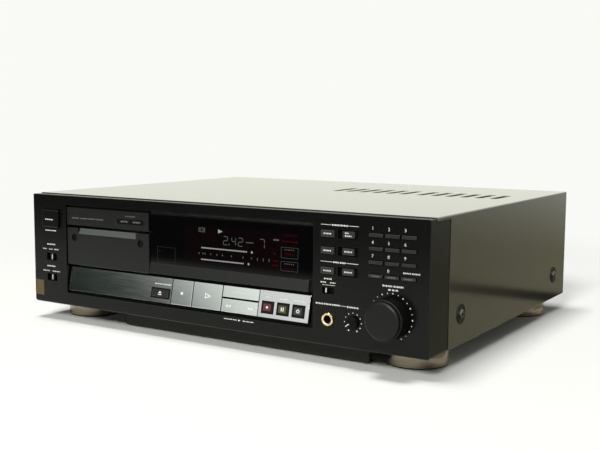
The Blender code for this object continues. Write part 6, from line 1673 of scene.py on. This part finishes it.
def make_stage(settings):
    """Floor, room light, lamps, flags and the camera at the photograph's angle."""
    make_floor(settings)
    make_world(settings)
    front = spot(0.0, 0.0, 0.0)
    front.z = 0.0
    for name, offset, power in (("key_lamp", (-0.6, -0.2, 5.2), settings.key_power),
                                ("front_lamp", (0.8, -4.4, 3.22), settings.front_power)):
        add_lamp(name, front + Vector(offset), front, settings.key_width, power)
    add_cards(settings)
    camera = bpy.data.cameras.new("camera")
    camera.lens = settings.focal_length
    camera.sensor_width = 36.0
    camera.clip_start = 0.05
    camera.clip_end = 100.0
    holder = new_object("camera", camera)
    turn = Matrix(CAMERA_AXES).transposed().to_4x4()
    holder.matrix_world = Matrix.Translation(spot(*CAMERA_PLACE)) @ turn
    bpy.context.scene.camera = holder
    bpy.context.scene.view_settings.view_transform = "Standard"


# Operators


class DECK_OT_finishes(Operator):
    """Make every finish of the deck"""
    bl_idname = "deck.finishes"
    bl_label = "Finishes"

    def execute(self, context):
        make_finishes(context.scene.deck_colours)
        return {"FINISHED"}


class DECK_OT_fascia(Operator):
    """Build the moulded front"""
    bl_idname = "deck.fascia"
    bl_label = "Fascia"

    def execute(self, context):
        make_fascia()
        return {"FINISHED"}


class DECK_OT_cover(Operator):
    """Build the bonnet and punch its cooling slots"""
    bl_idname = "deck.cover"
    bl_label = "Cover"

    def execute(self, context):
        make_cover(context.scene.deck_sizes)
        make_cover_linings()
        return {"FINISHED"}


class DECK_OT_cabinet(Operator):
    """Build the chassis, the rear panel and the front channel"""
    bl_idname = "deck.cabinet"
    bl_label = "Cabinet"

    def execute(self, context):
        make_cabinet()
        return {"FINISHED"}


class DECK_OT_feet(Operator):
    """Build the four feet"""
    bl_idname = "deck.feet"
    bl_label = "Feet"

    def execute(self, context):
        make_feet()
        return {"FINISHED"}


class DECK_OT_screws(Operator):
    """Set the screws in the cover, behind and below"""
    bl_idname = "deck.screws"
    bl_label = "Screws"

    def execute(self, context):
        make_screws(context.scene.deck_sizes)
        return {"FINISHED"}


class DECK_OT_display(Operator):
    """Build the window, the tube and the lit figures"""
    bl_idname = "deck.display"
    bl_label = "Display"

    def execute(self, context):
        make_window()
        make_figures()
        return {"FINISHED"}


class DECK_OT_counter(Operator):
    """Build the counter panel and its keys"""
    bl_idname = "deck.counter"
    bl_label = "Counter panel"

    def execute(self, context):
        make_counter()
        return {"FINISHED"}


class DECK_OT_drawer(Operator):
    """Build the drawer, its tray and the pinion"""
    bl_idname = "deck.drawer"
    bl_label = "Drawer"

    def execute(self, context):
        make_drawer()
        return {"FINISHED"}


class DECK_OT_strip(Operator):
    """Build the control strip, its keys and their signs"""
    bl_idname = "deck.strip"
    bl_label = "Control strip"

    def execute(self, context):
        make_strip()
        make_strip_marks()
        return {"FINISHED"}


class DECK_OT_keys(Operator):
    """Build the ID keys and the number keys"""
    bl_idname = "deck.keys"
    bl_label = "Keys"

    def execute(self, context):
        make_keys()
        return {"FINISHED"}


class DECK_OT_switches(Operator):
    """Build the power button and the slide switches"""
    bl_idname = "deck.switches"
    bl_label = "Switches"

    def execute(self, context):
        make_switches()
        return {"FINISHED"}


class DECK_OT_knobs(Operator):
    """Build the three level controls and the dots round them"""
    bl_idname = "deck.knobs"
    bl_label = "Knobs"

    def execute(self, context):
        make_level_knobs(context.scene.deck_sizes)
        make_phones_knob()
        make_dots(context.scene.deck_sizes)
        return {"FINISHED"}


class DECK_OT_sockets(Operator):
    """Build the headphone socket and the sockets on the back"""
    bl_idname = "deck.sockets"
    bl_label = "Sockets"

    def execute(self, context):
        make_socket()
        make_rear_sockets()
        return {"FINISHED"}


class DECK_OT_printing(Operator):
    """Print the legends, rules and figures on the fascia"""
    bl_idname = "deck.printing"
    bl_label = "Printing"

    def execute(self, context):
        make_printing(context.scene.deck_sizes)
        return {"FINISHED"}


class DECK_OT_inside(Operator):
    """Build the boards, the transformer and the mechanism"""
    bl_idname = "deck.inside"
    bl_label = "Inside"

    def execute(self, context):
        make_inside()
        return {"FINISHED"}


class DECK_OT_stage(Operator):
    """Set up the floor, the light and the camera"""
    bl_idname = "deck.stage"
    bl_label = "Stage"

    def execute(self, context):
        make_stage(context.scene.stage_settings)
        return {"FINISHED"}


OPERATORS = (DECK_OT_finishes, DECK_OT_fascia, DECK_OT_cover, DECK_OT_cabinet, DECK_OT_feet,
             DECK_OT_screws, DECK_OT_display, DECK_OT_counter, DECK_OT_drawer, DECK_OT_strip,
             DECK_OT_keys, DECK_OT_switches, DECK_OT_knobs, DECK_OT_sockets, DECK_OT_printing,
             DECK_OT_inside, DECK_OT_stage)


class DECK_PT_deck(Panel):
    """Lists the deck's settings and its building steps"""
    bl_label = "Tape deck"
    bl_idname = "DECK_PT_deck"
    bl_space_type = "VIEW_3D"
    bl_region_type = "UI"
    bl_category = "Tape deck"

    def draw(self, context):
        for group in (context.scene.deck_sizes, context.scene.deck_colours,
                      context.scene.stage_settings):
            column = self.layout.column()
            for name in group.__annotations__:
                column.prop(group, name)
        for operator in OPERATORS:
            self.layout.operator(operator.bl_idname)


CLASSES = (DeckSizes, DeckColours, StageSettings, *OPERATORS, DECK_PT_deck)


def register():
    for item in CLASSES:
        bpy.utils.register_class(item)
    bpy.types.Scene.deck_sizes = PointerProperty(type=DeckSizes)
    bpy.types.Scene.deck_colours = PointerProperty(type=DeckColours)
    bpy.types.Scene.stage_settings = PointerProperty(type=StageSettings)


def unregister():
    del bpy.types.Scene.stage_settings
    del bpy.types.Scene.deck_colours
    del bpy.types.Scene.deck_sizes
    for item in reversed(CLASSES):
        bpy.utils.unregister_class(item)


def main():
    """Registers the add-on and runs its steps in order."""
    register()
    for operator in OPERATORS:
        group, step = operator.bl_idname.split(".")
        getattr(getattr(bpy.ops, group), step)()


if __name__ == "__main__":
    main()
